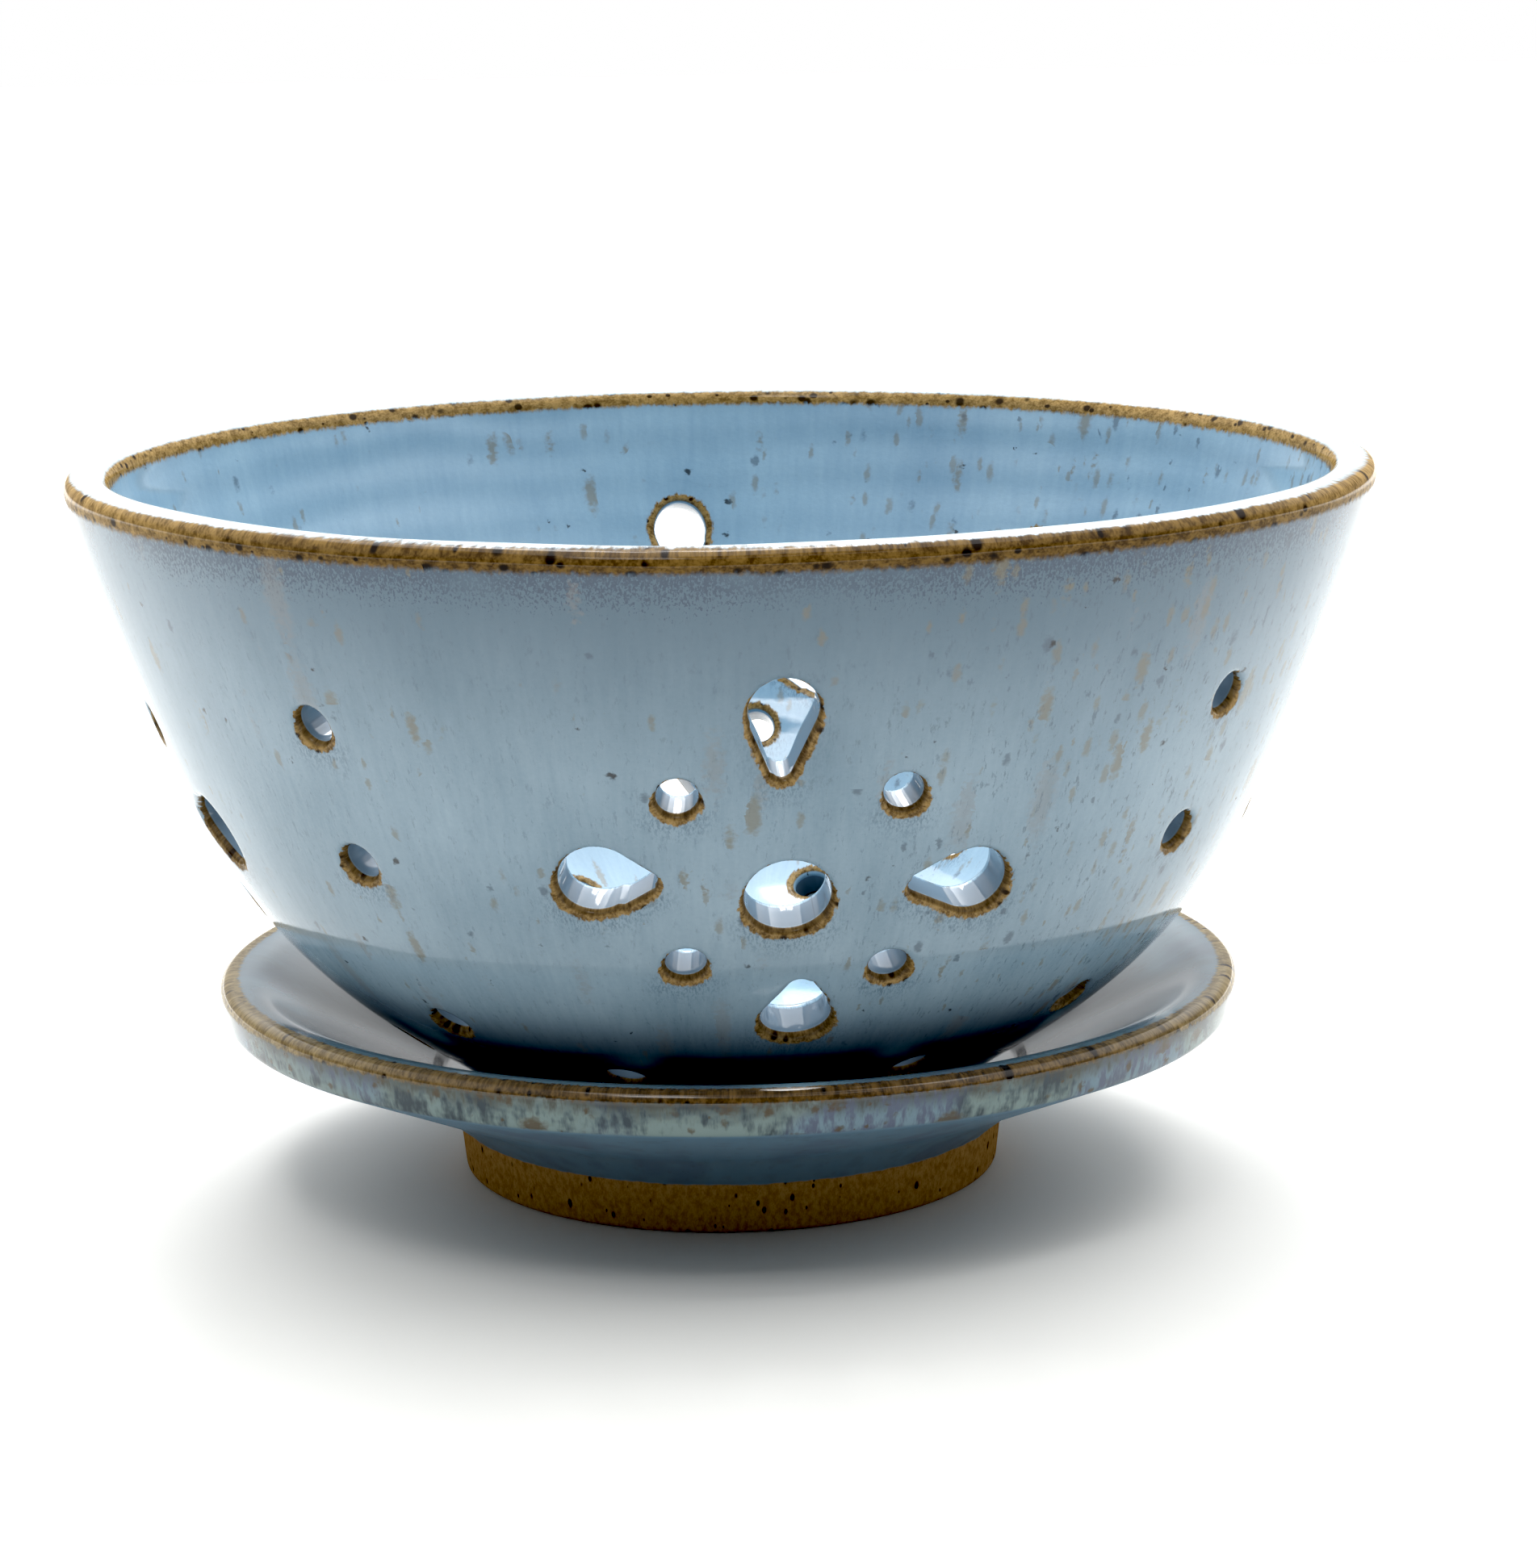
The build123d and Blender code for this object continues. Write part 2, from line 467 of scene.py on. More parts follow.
@dataclass
class GlazeEffects:
    """Shader groups that the finishes of both pieces share, with patterns in millimetres.

    The pattern is unrolled at the mean radius, lies flat within the flat radius, where it would make
    a star at the axis, and takes a share of the radius as height, so that flat floors vary too.
    """

    mean_radius: float = 65.0
    flat_radius: float = 33.0
    height_slope: float = 0.6
    run_squeeze: float = 0.13
    fine_runs: Grain = Grain(1.1, 3.0, 0.6)
    fine_share: float = 0.4
    wide_runs: Grain = Grain(0.22)
    wide_share: float = 0.35
    flecks: Grain = Grain(1.7, 3.0, 0.65)
    fleck_share: float = 0.25
    drift_squeeze: float = 0.7
    drifts: Grain = Grain(0.06)
    relief: Grain = Grain(1.0, 3.0, 0.6)
    speck_waver_scale: float = 1.3
    speck_waver: float = 0.5
    speck_cloud: Grain = Grain(0.045, 2.0, 0.6)
    speck_least: float = 0.35
    speck_core: float = 0.35
    edge_squeeze: float = 0.45
    edge_grain: Grain = Grain(1.5, 3.0, 0.65)
    edge_core: float = 0.72
    coarse_clay: Grain = Grain(0.9, 3.0, 0.6)
    coarse_share: float = 0.6
    fine_clay: Grain = Grain(3.2, 2.0, 0.6)
    fine_clay_share: float = 0.4
    clay_span: tuple = (0.36, 0.64)
    iron_scale: float = 0.62
    iron_step: float = 0.4
    iron_least: float = 0.14
    iron_core: float = 0.5
    iron_sunk: float = 0.3

    def __post_init__(self) -> None:
        """Builds each group once."""
        self.build_place()
        self.build_body()
        self.build_specks()
        self.build_edge()
        self.build_clay()

    def build_place(self) -> None:
        """Place on a thrown piece in millimetres, unrolled so that runs follow the wall."""
        self.place, desk, given, result = new_group(
            "place on the wheel", {"Object": VECTOR}, {"Wrap": VECTOR, "Height": FLOAT}
        )
        place = desk.scaled(given["Object"], 1 / MM)
        height = desk.parted(place)["Z"]
        level = desk.vector("MULTIPLY", place, (1, 1, 0))
        radius = desk.vector("LENGTH", level)
        unrolled = desk.math("MINIMUM", desk.math("DIVIDE", radius, self.flat_radius), 1.0)
        ring = desk.scaled(desk.vector("NORMALIZE", level), desk.times(unrolled, self.mean_radius))
        rise = desk.joined(Z=desk.math("MULTIPLY_ADD", radius, self.height_slope, height))
        desk.feed(result.inputs["Wrap"], desk.vector("ADD", ring, rise))
        desk.feed(result.inputs["Height"], height)

    def build_body(self) -> None:
        """Glaze colour with fine runs down the wall and broad drifts of thick and thin."""
        self.body, desk, given, result = new_group(
            "glaze body",
            {"Wrap": VECTOR, "Deep": COLOUR, "Pale": COLOUR, "Runs": FLOAT, "Drift": FLOAT},
            {"Color": COLOUR, "Height": FLOAT},
        )
        wrap = given["Wrap"]
        drawn = desk.vector("MULTIPLY", wrap, (1.0, 1.0, self.run_squeeze))
        runs = desk.times(desk.noise(drawn, self.wide_runs), self.wide_share)
        runs = desk.math("MULTIPLY_ADD", desk.noise(drawn, self.fine_runs), self.fine_share, runs)
        runs = desk.math("MULTIPLY_ADD", desk.noise(wrap, self.flecks), self.fleck_share, runs)
        runs = desk.times(desk.math("SUBTRACT", runs, NOISE_MEAN), given["Runs"])
        broad = desk.vector("MULTIPLY", wrap, (1.0, 1.0, self.drift_squeeze))
        drift = desk.swing(broad, self.drifts, given["Drift"])
        share = desk.math("ADD", desk.math("ADD", runs, drift), NOISE_MEAN, clamp=True)
        desk.feed(result.inputs["Color"], desk.blend(share, given["Deep"], given["Pale"]))
        desk.feed(result.inputs["Height"], desk.noise(wrap, self.relief))

    @staticmethod
    def scatter(
        desk: NodeDesk, cells: bpy.types.Node, share: Reading, step: Reading, least: Reading, core: float
    ) -> Socket:
        """Spots in some cells of a pattern, each of its own size.

        Args:
            desk: Desk of the group's tree.
            cells: The pattern of cells.
            share: Share of the cells that have a spot.
            step: How much larger the largest spot is than the smallest.
            least: Radius of the smallest spot.
            core: Share of its radius within which a spot is full.

        Returns:
            Mask of the spots.
        """
        chance = desk.node("ShaderNodeSeparateColor", {0: cells.outputs["Color"]}).outputs
        size = desk.math("MULTIPLY_ADD", chance[1], step, least)
        spot = desk.ease(cells.outputs["Distance"], size, desk.times(size, core))
        return desk.times(spot, desk.math("LESS_THAN", chance[0], share))

    def build_specks(self) -> None:
        """Scattered spots that run down the wall, more of them where a broad cloud is thick."""
        sizes = ("Cell", "Stretch", "Share", "Spot", "Cloud")
        self.specks, desk, given, result = new_group(
            "specks", {"Wrap": VECTOR, **dict.fromkeys(sizes, FLOAT)}, {"Mask": FLOAT}
        )
        wrap = given["Wrap"]
        flat = desk.math("DIVIDE", 1.0, given["Cell"])
        squeeze = desk.joined(X=flat, Y=flat, Z=desk.math("DIVIDE", flat, given["Stretch"]))
        noise = desk.node("ShaderNodeTexNoise", {"Vector": wrap, "Scale": self.speck_waver_scale})
        waver = desk.vector("SUBTRACT", noise.outputs["Color"], (NOISE_MEAN,) * 3)
        place = desk.vector("MULTIPLY", wrap, squeeze)
        place = desk.vector("ADD", place, desk.scaled(waver, self.speck_waver))
        cells = desk.node("ShaderNodeTexVoronoi", {"Vector": place, "Scale": 1.0})
        share = desk.math("ADD", given["Share"], desk.swing(wrap, self.speck_cloud, given["Cloud"]))
        least = desk.times(given["Spot"], self.speck_least)
        mask = self.scatter(desk, cells, share, given["Spot"], least, self.speck_core)
        desk.feed(result.inputs["Mask"], mask)

    def build_edge(self) -> None:
        """Where glaze runs thin over an edge and the clay shows, with a ragged border."""
        self.edge, desk, given, result = new_group(
            "thin glaze at an edge",
            {"Wrap": VECTOR, "Reach": FLOAT, "Width": FLOAT, "Ragged": FLOAT},
            {"Mask": FLOAT},
        )
        drawn = desk.vector("MULTIPLY", given["Wrap"], (1.0, 1.0, self.edge_squeeze))
        reach = desk.math("ADD", given["Reach"], desk.swing(drawn, self.edge_grain, given["Ragged"]))
        inner = desk.times(given["Width"], self.edge_core)
        desk.feed(result.inputs["Mask"], desk.ease(reach, given["Width"], inner))

    def build_clay(self) -> None:
        """Speckled stoneware clay: grainy light and dark with iron spots."""
        self.clay, desk, given, result = new_group(
            "speckled clay",
            {"Wrap": VECTOR, "Light": COLOUR, "Dark": COLOUR, "Iron": COLOUR, "Spots": FLOAT},
            {"Color": COLOUR, "Height": FLOAT},
        )
        wrap = given["Wrap"]
        fine = desk.times(desk.noise(wrap, self.fine_clay), self.fine_clay_share)
        tone = desk.math("MULTIPLY_ADD", desk.noise(wrap, self.coarse_clay), self.coarse_share, fine)
        body = desk.blend(desk.ease(tone, *self.clay_span), given["Dark"], given["Light"])
        cells = desk.node("ShaderNodeTexVoronoi", {"Vector": wrap, "Scale": self.iron_scale})
        iron = self.scatter(desk, cells, given["Spots"], self.iron_step, self.iron_least, self.iron_core)
        desk.feed(result.inputs["Color"], desk.blend(iron, body, given["Iron"]))
        sunk = desk.times(iron, self.iron_sunk)
        desk.feed(result.inputs["Height"], desk.math("SUBTRACT", tone, sunk))


@dataclass(frozen=True)
class ClayFinish:
    """Colours of the speckled clay where no glaze, or little, covers it."""

    light: tuple = linear(100, 78, 39)
    dark: tuple = linear(52, 36, 13)
    iron: tuple = linear(18, 10, 5)
    spots: float = 0.75


class Surface:
    """Readings of a point's place on a thrown piece, inside one material."""

    # Shares of the reach towards the viewer between which the front begins
    FRONT_SPAN = (0.3, 1.1)

    def __init__(self, desk: NodeDesk, effects: GlazeEffects) -> None:
        """Adds the nodes that read where a point lies.

        Args:
            desk: Desk of the material's tree.
            effects: The shared shader groups.
        """
        self.desk = desk
        self.effects = effects
        self.object_place = desk.node("ShaderNodeTexCoord").outputs["Object"]
        place = desk.group(effects.place, Object=self.object_place)
        self.wrap = place.outputs["Wrap"]
        self.height = place.outputs["Height"]

    def fact(self, fact: Fact) -> Socket:
        """One fact that the point knows."""
        return self.desk.node("ShaderNodeAttribute", attribute_name=fact.value).outputs["Fac"]

    def drawn(self, squeeze: float) -> Socket:
        """The unrolled place, squeezed in height so that a pattern is drawn out down the wall."""
        return self.desk.vector("MULTIPLY", self.wrap, (1.0, 1.0, squeeze))

    # Both finishes paint shade with this mask: darker glaze and rim clay in front
    def front(self, reach: float) -> Socket:
        """1 in front, from this distance before the axis on, and 0 at the sides and at the back."""
        towards = self.desk.vector("DOT_PRODUCT", self.object_place, (0, -1 / (reach * MM), 0))
        return self.desk.ease(towards, *self.FRONT_SPAN)

    def specks(self, spots: Spots, amount: Reading | None = None) -> Socket:
        """Mask of scattered spots.

        Args:
            spots: Sizes of the spots.
            amount: What the share of spots is multiplied by at each point, if it varies.

        Returns:
            The mask.
        """
        share = spots.share if amount is None else self.desk.times(amount, spots.share)
        group = self.desk.group(
            self.effects.specks, Wrap=self.wrap, Cell=spots.cell, Stretch=spots.stretch,
            Share=share, Spot=spots.spot, Cloud=spots.cloud,
        )
        return group.outputs["Mask"]

    def edge(self, reach: Reading, width: Reading, ragged: float) -> Socket:
        """Mask of the clay that shows along an edge, up to this width from it."""
        sizes = {"Reach": reach, "Width": width, "Ragged": ragged}
        return self.desk.group(self.effects.edge, Wrap=self.wrap, **sizes).outputs["Mask"]

    def clay(self, finish: ClayFinish) -> bpy.types.Node:
        """Speckled clay of this finish, with its colour and its height."""
        colours = {"Light": finish.light, "Dark": finish.dark, "Iron": finish.iron}
        return self.desk.group(self.effects.clay, Wrap=self.wrap, Spots=finish.spots, **colours)


@dataclass(frozen=True)
class GlassCoat:
    """Clear glassy layer of a glaze, over its coloured body."""

    body_shine: float = 0.0
    coat_roughness: float = 0.08
    bump_strength: float = 0.6
    bump_depth: float = 0.12

    def lay(
        self, desk: NodeDesk, shader: bpy.types.Node, coat: Reading, height: Socket
    ) -> None:
        """Lays the coat on a shader and gives its body a relief.

        Args:
            desk: Desk of the material's tree.
            shader: The material's shader.
            coat: Share of the coat at each point.
            height: Relief of the surface.
        """
        shader.inputs["Specular IOR Level"].default_value = self.body_shine
        shader.inputs["Coat Roughness"].default_value = self.coat_roughness
        desk.feed(shader.inputs["Coat Weight"], coat)
        depths = {"Strength": self.bump_strength, "Distance": self.bump_depth * MM}
        bump = desk.node("ShaderNodeBump", {"Height": height, **depths})
        desk.feed(shader.inputs["Normal"], bump.outputs["Normal"])


def new_material(name: str, effects: GlazeEffects) -> tuple:
    """Starts a glaze material.

    Args:
        name: Name of the material.
        effects: The shared shader groups.

    Returns:
        The material, its desk, its shader and the readings of a point's place.
    """
    material = bpy.data.materials.new(name)
    material.use_nodes = True
    desk = NodeDesk(material.node_tree)
    return material, desk, material.node_tree.nodes["Principled BSDF"], Surface(desk, effects)


@dataclass(frozen=True)
class BowlGlaze:
    """Finish of the bowl: milky blue glaze that breaks brown at the rim and round the holes.

    Bands, reaches and drops are millimetres, and a span is the pair of values between which a mask
    goes from 0 to 1.
    """

    rim_height: float
    deep: tuple = linear(100, 123, 138)
    pale: tuple = linear(136, 156, 169)
    inner_deep: tuple = linear(108, 139, 161)
    inner_pale: tuple = linear(138, 166, 183)
    # Painted shade: a darker tone towards the rim, strongest in front
    thin: tuple = linear(64, 84, 99)
    # Painted shade low on the outside of the wall, above the saucer
    slate: tuple = linear(50, 62, 80)
    low_wall_shade: tuple = linear(38, 56, 84)
    ochre: tuple = linear(104, 95, 70)
    streak: tuple = linear(116, 110, 104)
    dash: tuple = linear(62, 74, 88)
    pool: tuple = linear(58, 80, 98)
    bore: tuple = linear(92, 110, 126)
    pinhole: tuple = linear(30, 24, 22)
    crown: tuple = linear(168, 184, 192)
    # Painted shade and light: the rim clay is dark in front and lighter at the sides
    rim_clay: ClayFinish = ClayFinish()
    lit_side_clay: ClayFinish = ClayFinish(linear(150, 124, 78), linear(96, 75, 40), linear(42, 30, 14), 0.7)
    halo_clay: ClayFinish = ClayFinish(linear(140, 116, 74), linear(80, 62, 35), linear(36, 25, 14), 0.5)
    coat: GlassCoat = GlassCoat()
    gloss: float = 0.25
    broken_gloss: float = 0.6
    broken_coat: float = 0.25
    front_reach: float = 70.0

    # Melted body, with the share of painted shade towards the rim at the sides and in front, and painted
    # shade low on the wall
    runs: float = 1.2
    drift: float = 1.0
    rim_shade_end: float = 36.0
    rim_shade_shares: tuple = (0.42, 0.92)
    low_wall_shade_span: tuple = (35.0, 23.0)
    low_wall_shade_share: float = 0.85

    # Slate dashes under the rim, which start at a lower value of their grain near the rim than far off
    slate_span: tuple = (11.0, 2.0)
    slate_squeeze: float = 0.5
    slate_grain: Grain = Grain(4.0, 3.0, 0.65)
    slate_cloud: Grain = Grain(0.07)
    slate_cloud_span: tuple = (0.25, 0.5)
    slate_starts: tuple = (0.7, 0.38)
    slate_soft: float = 0.12
    slate_fade: float = 0.25
    slate_share: float = 0.7

    # Spray of specks and dashes, with its amounts on the left and on the right
    spray_reach: float = 55.0
    spray_span: tuple = (-0.2, 1.0)
    spray_amounts: tuple = (0.08, 0.53)
    streaks: Spots = Spots(cell=4.2, stretch=4.5, share=0.3, spot=0.4, cloud=0.8)
    streak_share: float = 0.3
    large_specks: Spots = Spots(cell=2.4, stretch=3.6, share=0.5, spot=0.4, cloud=0.9)
    small_specks: Spots = Spots(cell=1.4, stretch=3.0, share=1.0, spot=0.4, cloud=0.9)
    small_share: float = 0.8
    ochre_share: float = 0.6
    freckle_squeeze: float = 0.3
    freckle_grain: Grain = Grain(1.5, 4.0, 0.75)
    freckle_span: tuple = (0.55, 0.7)
    freckle_shares: tuple = (0.25, 0.65)
    short_dashes: Spots = Spots(cell=1.9, stretch=1.9, share=0.5, spot=0.34, cloud=0.7)
    dash_share: float = 0.6

    # Trails under the holes, bores and lips
    trail_squeeze: float = 0.4
    trail_grain: Grain = Grain(3.6, 3.0, 0.65)
    trail_span: tuple = (0.42, 0.64)
    trail_reach: tuple = (5.0, 0.8)
    trail_below: tuple = (0.1, 0.8)
    trail_share: float = 0.5
    bore_span: tuple = (0.05, -0.35)
    lip_line: tuple = (0.45, 0.15)
    lip_share: float = 0.5

    # Clay at the rim, outside and inside, and round the holes, above and below
    crown_rise: float = 1.0
    crown_reaches: tuple = (1.0, 1.4)
    crown_ragged: float = 0.5
    rim_bands: tuple = (2.9, 2.3)
    rim_ragged: float = 1.3
    halo_widths: tuple = (0.3, 1.1)
    halo_inside: float = 1.5
    halo_span: tuple = (-0.6, 0.7)
    halo_ragged: float = 1.5
    inner_halo_start: float = 0.35
    halo_soft: float = 0.2

    # Pinholes and the relief of the skin, with drag marks round the holes
    pins: Spots = Spots(cell=2.6, stretch=1.2, share=0.12, spot=0.18, cloud=0.2)
    pin_share: float = 0.85
    pin_depth: float = 0.6
    drag_waver: float = 2.0
    drag_turn: float = 3.4
    drag_span: tuple = (7.0, 2.0)
    drag_depth: float = 0.08
    skin_depth: float = 0.55
    skin_span: tuple = (-0.3, 0.1)

    def body(self, on: Surface, inside: Reading, outside: Reading, drop: Reading) -> tuple:
        """Melted glaze, with painted shade that darkens it towards the rim, most in front, and low on the
        wall.

        Args:
            on: Place on the piece.
            inside: 1 on the inside of the wall, else 0.
            outside: 1 on the outside of the wall, else 0.
            drop: Distance below the rim.

        Returns:
            Its colour and its relief.
        """
        desk = on.desk
        deep = desk.blend(inside, self.deep, self.inner_deep)
        pale = desk.blend(inside, self.pale, self.inner_pale)
        melt = desk.group(
            on.effects.body, Wrap=on.wrap, Deep=deep, Pale=pale, Runs=self.runs, Drift=self.drift
        )
        # Painted shade: darker towards the rim, most in front
        front_shade_share = desk.between(on.front(self.front_reach), *self.rim_shade_shares)
        thin = desk.times(desk.ease(drop, self.rim_shade_end, 0.0), outside, front_shade_share)
        colour = desk.blend(thin, melt.outputs["Color"], self.thin)
        # Painted shade low on the outside of the wall, where the saucer comes near
        low_wall_shade = desk.times(desk.ease(on.height, *self.low_wall_shade_span), outside, self.low_wall_shade_share)
        return desk.blend(low_wall_shade, colour, self.low_wall_shade), melt.outputs["Height"]

    def under_rim(
        self, on: Surface, colour: Reading, outside: Reading, drop: Reading
    ) -> Socket:
        """Adds the fine slate dashes that crowd under the rim, outside.

        Args:
            on: Place on the piece.
            colour: Colour so far.
            outside: 1 on the outside of the wall, else 0.
            drop: Distance below the rim.

        Returns:
            The colour.
        """
        desk = on.desk
        grain = desk.noise(on.drawn(self.slate_squeeze), self.slate_grain)
        cloud = desk.ease(desk.noise(on.wrap, self.slate_cloud), *self.slate_cloud_span)
        near = desk.times(desk.ease(drop, *self.slate_span), outside)
        start = desk.between(near, *self.slate_starts)
        dashes = desk.ease(grain, start, desk.math("ADD", start, self.slate_soft))
        fade = desk.ease(near, 0.0, self.slate_fade)
        return desk.blend(desk.times(dashes, cloud, fade, self.slate_share), colour, self.slate)

    def sprayed(self, on: Surface, colour: Reading, outside: Reading) -> Socket:
        """Adds ochre specks, freckles and slate dashes, most on the right, and faint brown streaks.

        Args:
            on: Place on the piece.
            colour: Colour so far.
            outside: 1 on the outside of the wall, else 0.

        Returns:
            The colour.
        """
        desk = on.desk
        towards = desk.vector("DOT_PRODUCT", on.object_place, (1 / (self.spray_reach * MM), 0, 0))
        right = desk.ease(towards, *self.spray_span)
        amount = desk.between(right, *self.spray_amounts)
        streaks = desk.times(on.specks(self.streaks), outside, self.streak_share)
        colour = desk.blend(streaks, colour, self.streak)
        small = desk.times(on.specks(self.small_specks, amount), self.small_share)
        ochre = desk.math("MAXIMUM", on.specks(self.large_specks, amount), small)
        colour = desk.blend(desk.times(ochre, self.ochre_share), colour, self.ochre)
        freckles = desk.noise(on.drawn(self.freckle_squeeze), self.freckle_grain)
        freckles = desk.ease(freckles, *self.freckle_span)
        freckles = desk.times(freckles, desk.between(right, *self.freckle_shares), outside)
        colour = desk.blend(freckles, colour, self.dash)
        dashes = desk.times(on.specks(self.short_dashes, amount), self.dash_share)
        return desk.blend(dashes, colour, self.dash)

    def round_holes(
        self, on: Surface, colour: Reading, lip: Reading, low: Reading
    ) -> Socket:
        """Adds the slate trails below the holes and the smooth glaze in their bores.

        Args:
            on: Place on the piece.
            colour: Colour so far.
            lip: Distance from the nearest bore's edge, negative in the bore.
            low: 1 right under a hole, -1 right above it.

        Returns:
            The colour.
        """
        desk = on.desk
        grain = desk.noise(on.drawn(self.trail_squeeze), self.trail_grain)
        trail = desk.times(
            desk.ease(grain, *self.trail_span),
            desk.ease(lip, *self.trail_reach),
            desk.ease(low, *self.trail_below),
            self.trail_share,
        )
        colour = desk.blend(trail, colour, self.pool)
        return desk.blend(desk.ease(lip, *self.bore_span), colour, self.bore)

    def clay_shows(
        self, on: Surface, inside: Reading, drop: Reading, lip: Reading, low: Reading
    ) -> tuple:
        """Where the glaze breaks over the clay.

        Args:
            on: Place on the piece.
            inside: 1 on the inside of the wall, else 0.
            drop: Distance below the rim.
            lip: Distance from the nearest bore's edge, negative in the bore.
            low: 1 right under a hole, -1 right above it.

        Returns:
            Masks of the rim's glazed crown, of the clay beside it and of the halos round the holes.
        """
        desk = on.desk
        from_top = desk.math("ADD", drop, self.crown_rise)
        crown = on.edge(from_top, desk.between(inside, *self.crown_reaches), self.crown_ragged)
        rim = on.edge(drop, desk.between(inside, *self.rim_bands), self.rim_ragged)
        rim = desk.times(rim, desk.math("SUBTRACT", 1.0, crown))
        width = desk.between(desk.ease(low, *self.halo_span), *self.halo_widths)
        width = desk.between(inside, width, self.halo_inside)
        start = desk.times(inside, self.inner_halo_start)
        past_edge = desk.ease(lip, desk.math("SUBTRACT", start, self.halo_soft), start)
        return crown, rim, desk.times(on.edge(lip, width, self.halo_ragged), past_edge)

    def relief(self, on: Surface, melt: Reading, pins: Reading, lip: Reading) -> Socket:
        """Relief of the glaze's skin, with pinholes and with drag marks round the holes.

        Args:
            on: Place on the piece.
            melt: Relief of the melted body.
            pins: Mask of the pinholes.
            lip: Distance from the nearest bore's edge, negative in the bore.

        Returns:
            The relief.
        """
        desk = on.desk
        wave = desk.math("MULTIPLY_ADD", melt, self.drag_waver, desk.times(lip, self.drag_turn))
        near = desk.times(desk.ease(lip, *self.drag_span), self.drag_depth)
        drag = desk.times(desk.math("SINE", wave), near)
        skin = desk.math("MULTIPLY_ADD", melt, self.skin_depth, drag)
        skin = desk.math("MULTIPLY_ADD", pins, -self.pin_depth, skin)
        return desk.times(skin, desk.ease(lip, *self.skin_span))

    def material(self, effects: GlazeEffects) -> bpy.types.Material:
        """Builds the material.

        Args:
            effects: The shared shader groups.

        Returns:
            The material.
        """
        material, desk, shader, on = new_material("bowl glaze", effects)
        lip, low, inside = on.fact(Fact.LIP), on.fact(Fact.LOW), on.fact(Fact.INSIDE)
        outside = desk.math("SUBTRACT", 1.0, inside)
        drop = desk.math("SUBTRACT", self.rim_height, on.height)

        colour, melt = self.body(on, inside, outside, drop)
        colour = self.under_rim(on, colour, outside, drop)
        colour = self.sprayed(on, colour, outside)
        colour = self.round_holes(on, colour, lip, low)
        pins = on.specks(self.pins)
        colour = desk.blend(desk.times(pins, self.pin_share), colour, self.pinhole)

        crown, rim, halo = self.clay_shows(on, inside, drop, lip, low)
        rim_clay, halo_clay = on.clay(self.rim_clay), on.clay(self.halo_clay)
        # Painted shade and light: the rim clay darkens in front and is lighter at the sides
        shaded_front = desk.times(on.front(self.front_reach), outside)
        rim_colour = desk.blend(
            shaded_front, on.clay(self.lit_side_clay).outputs["Color"], rim_clay.outputs["Color"]
        )
        colour = desk.blend(crown, colour, self.crown)
        line = desk.times(desk.ease(lip, *self.lip_line), self.lip_share)
        halo_colour = desk.blend(line, halo_clay.outputs["Color"], self.halo_clay.iron)
        colour = desk.blend(halo, colour, halo_colour)
        desk.feed(shader.inputs["Base Color"], desk.blend(rim, colour, rim_colour))

        broken = desk.math("MAXIMUM", rim, halo)
        desk.feed(shader.inputs["Roughness"], desk.between(broken, self.gloss, self.broken_gloss))
        height = desk.between(broken, self.relief(on, melt, pins, lip), rim_clay.outputs["Height"])
        self.coat.lay(desk, shader, desk.between(broken, 1.0, self.broken_coat), height)
        return material


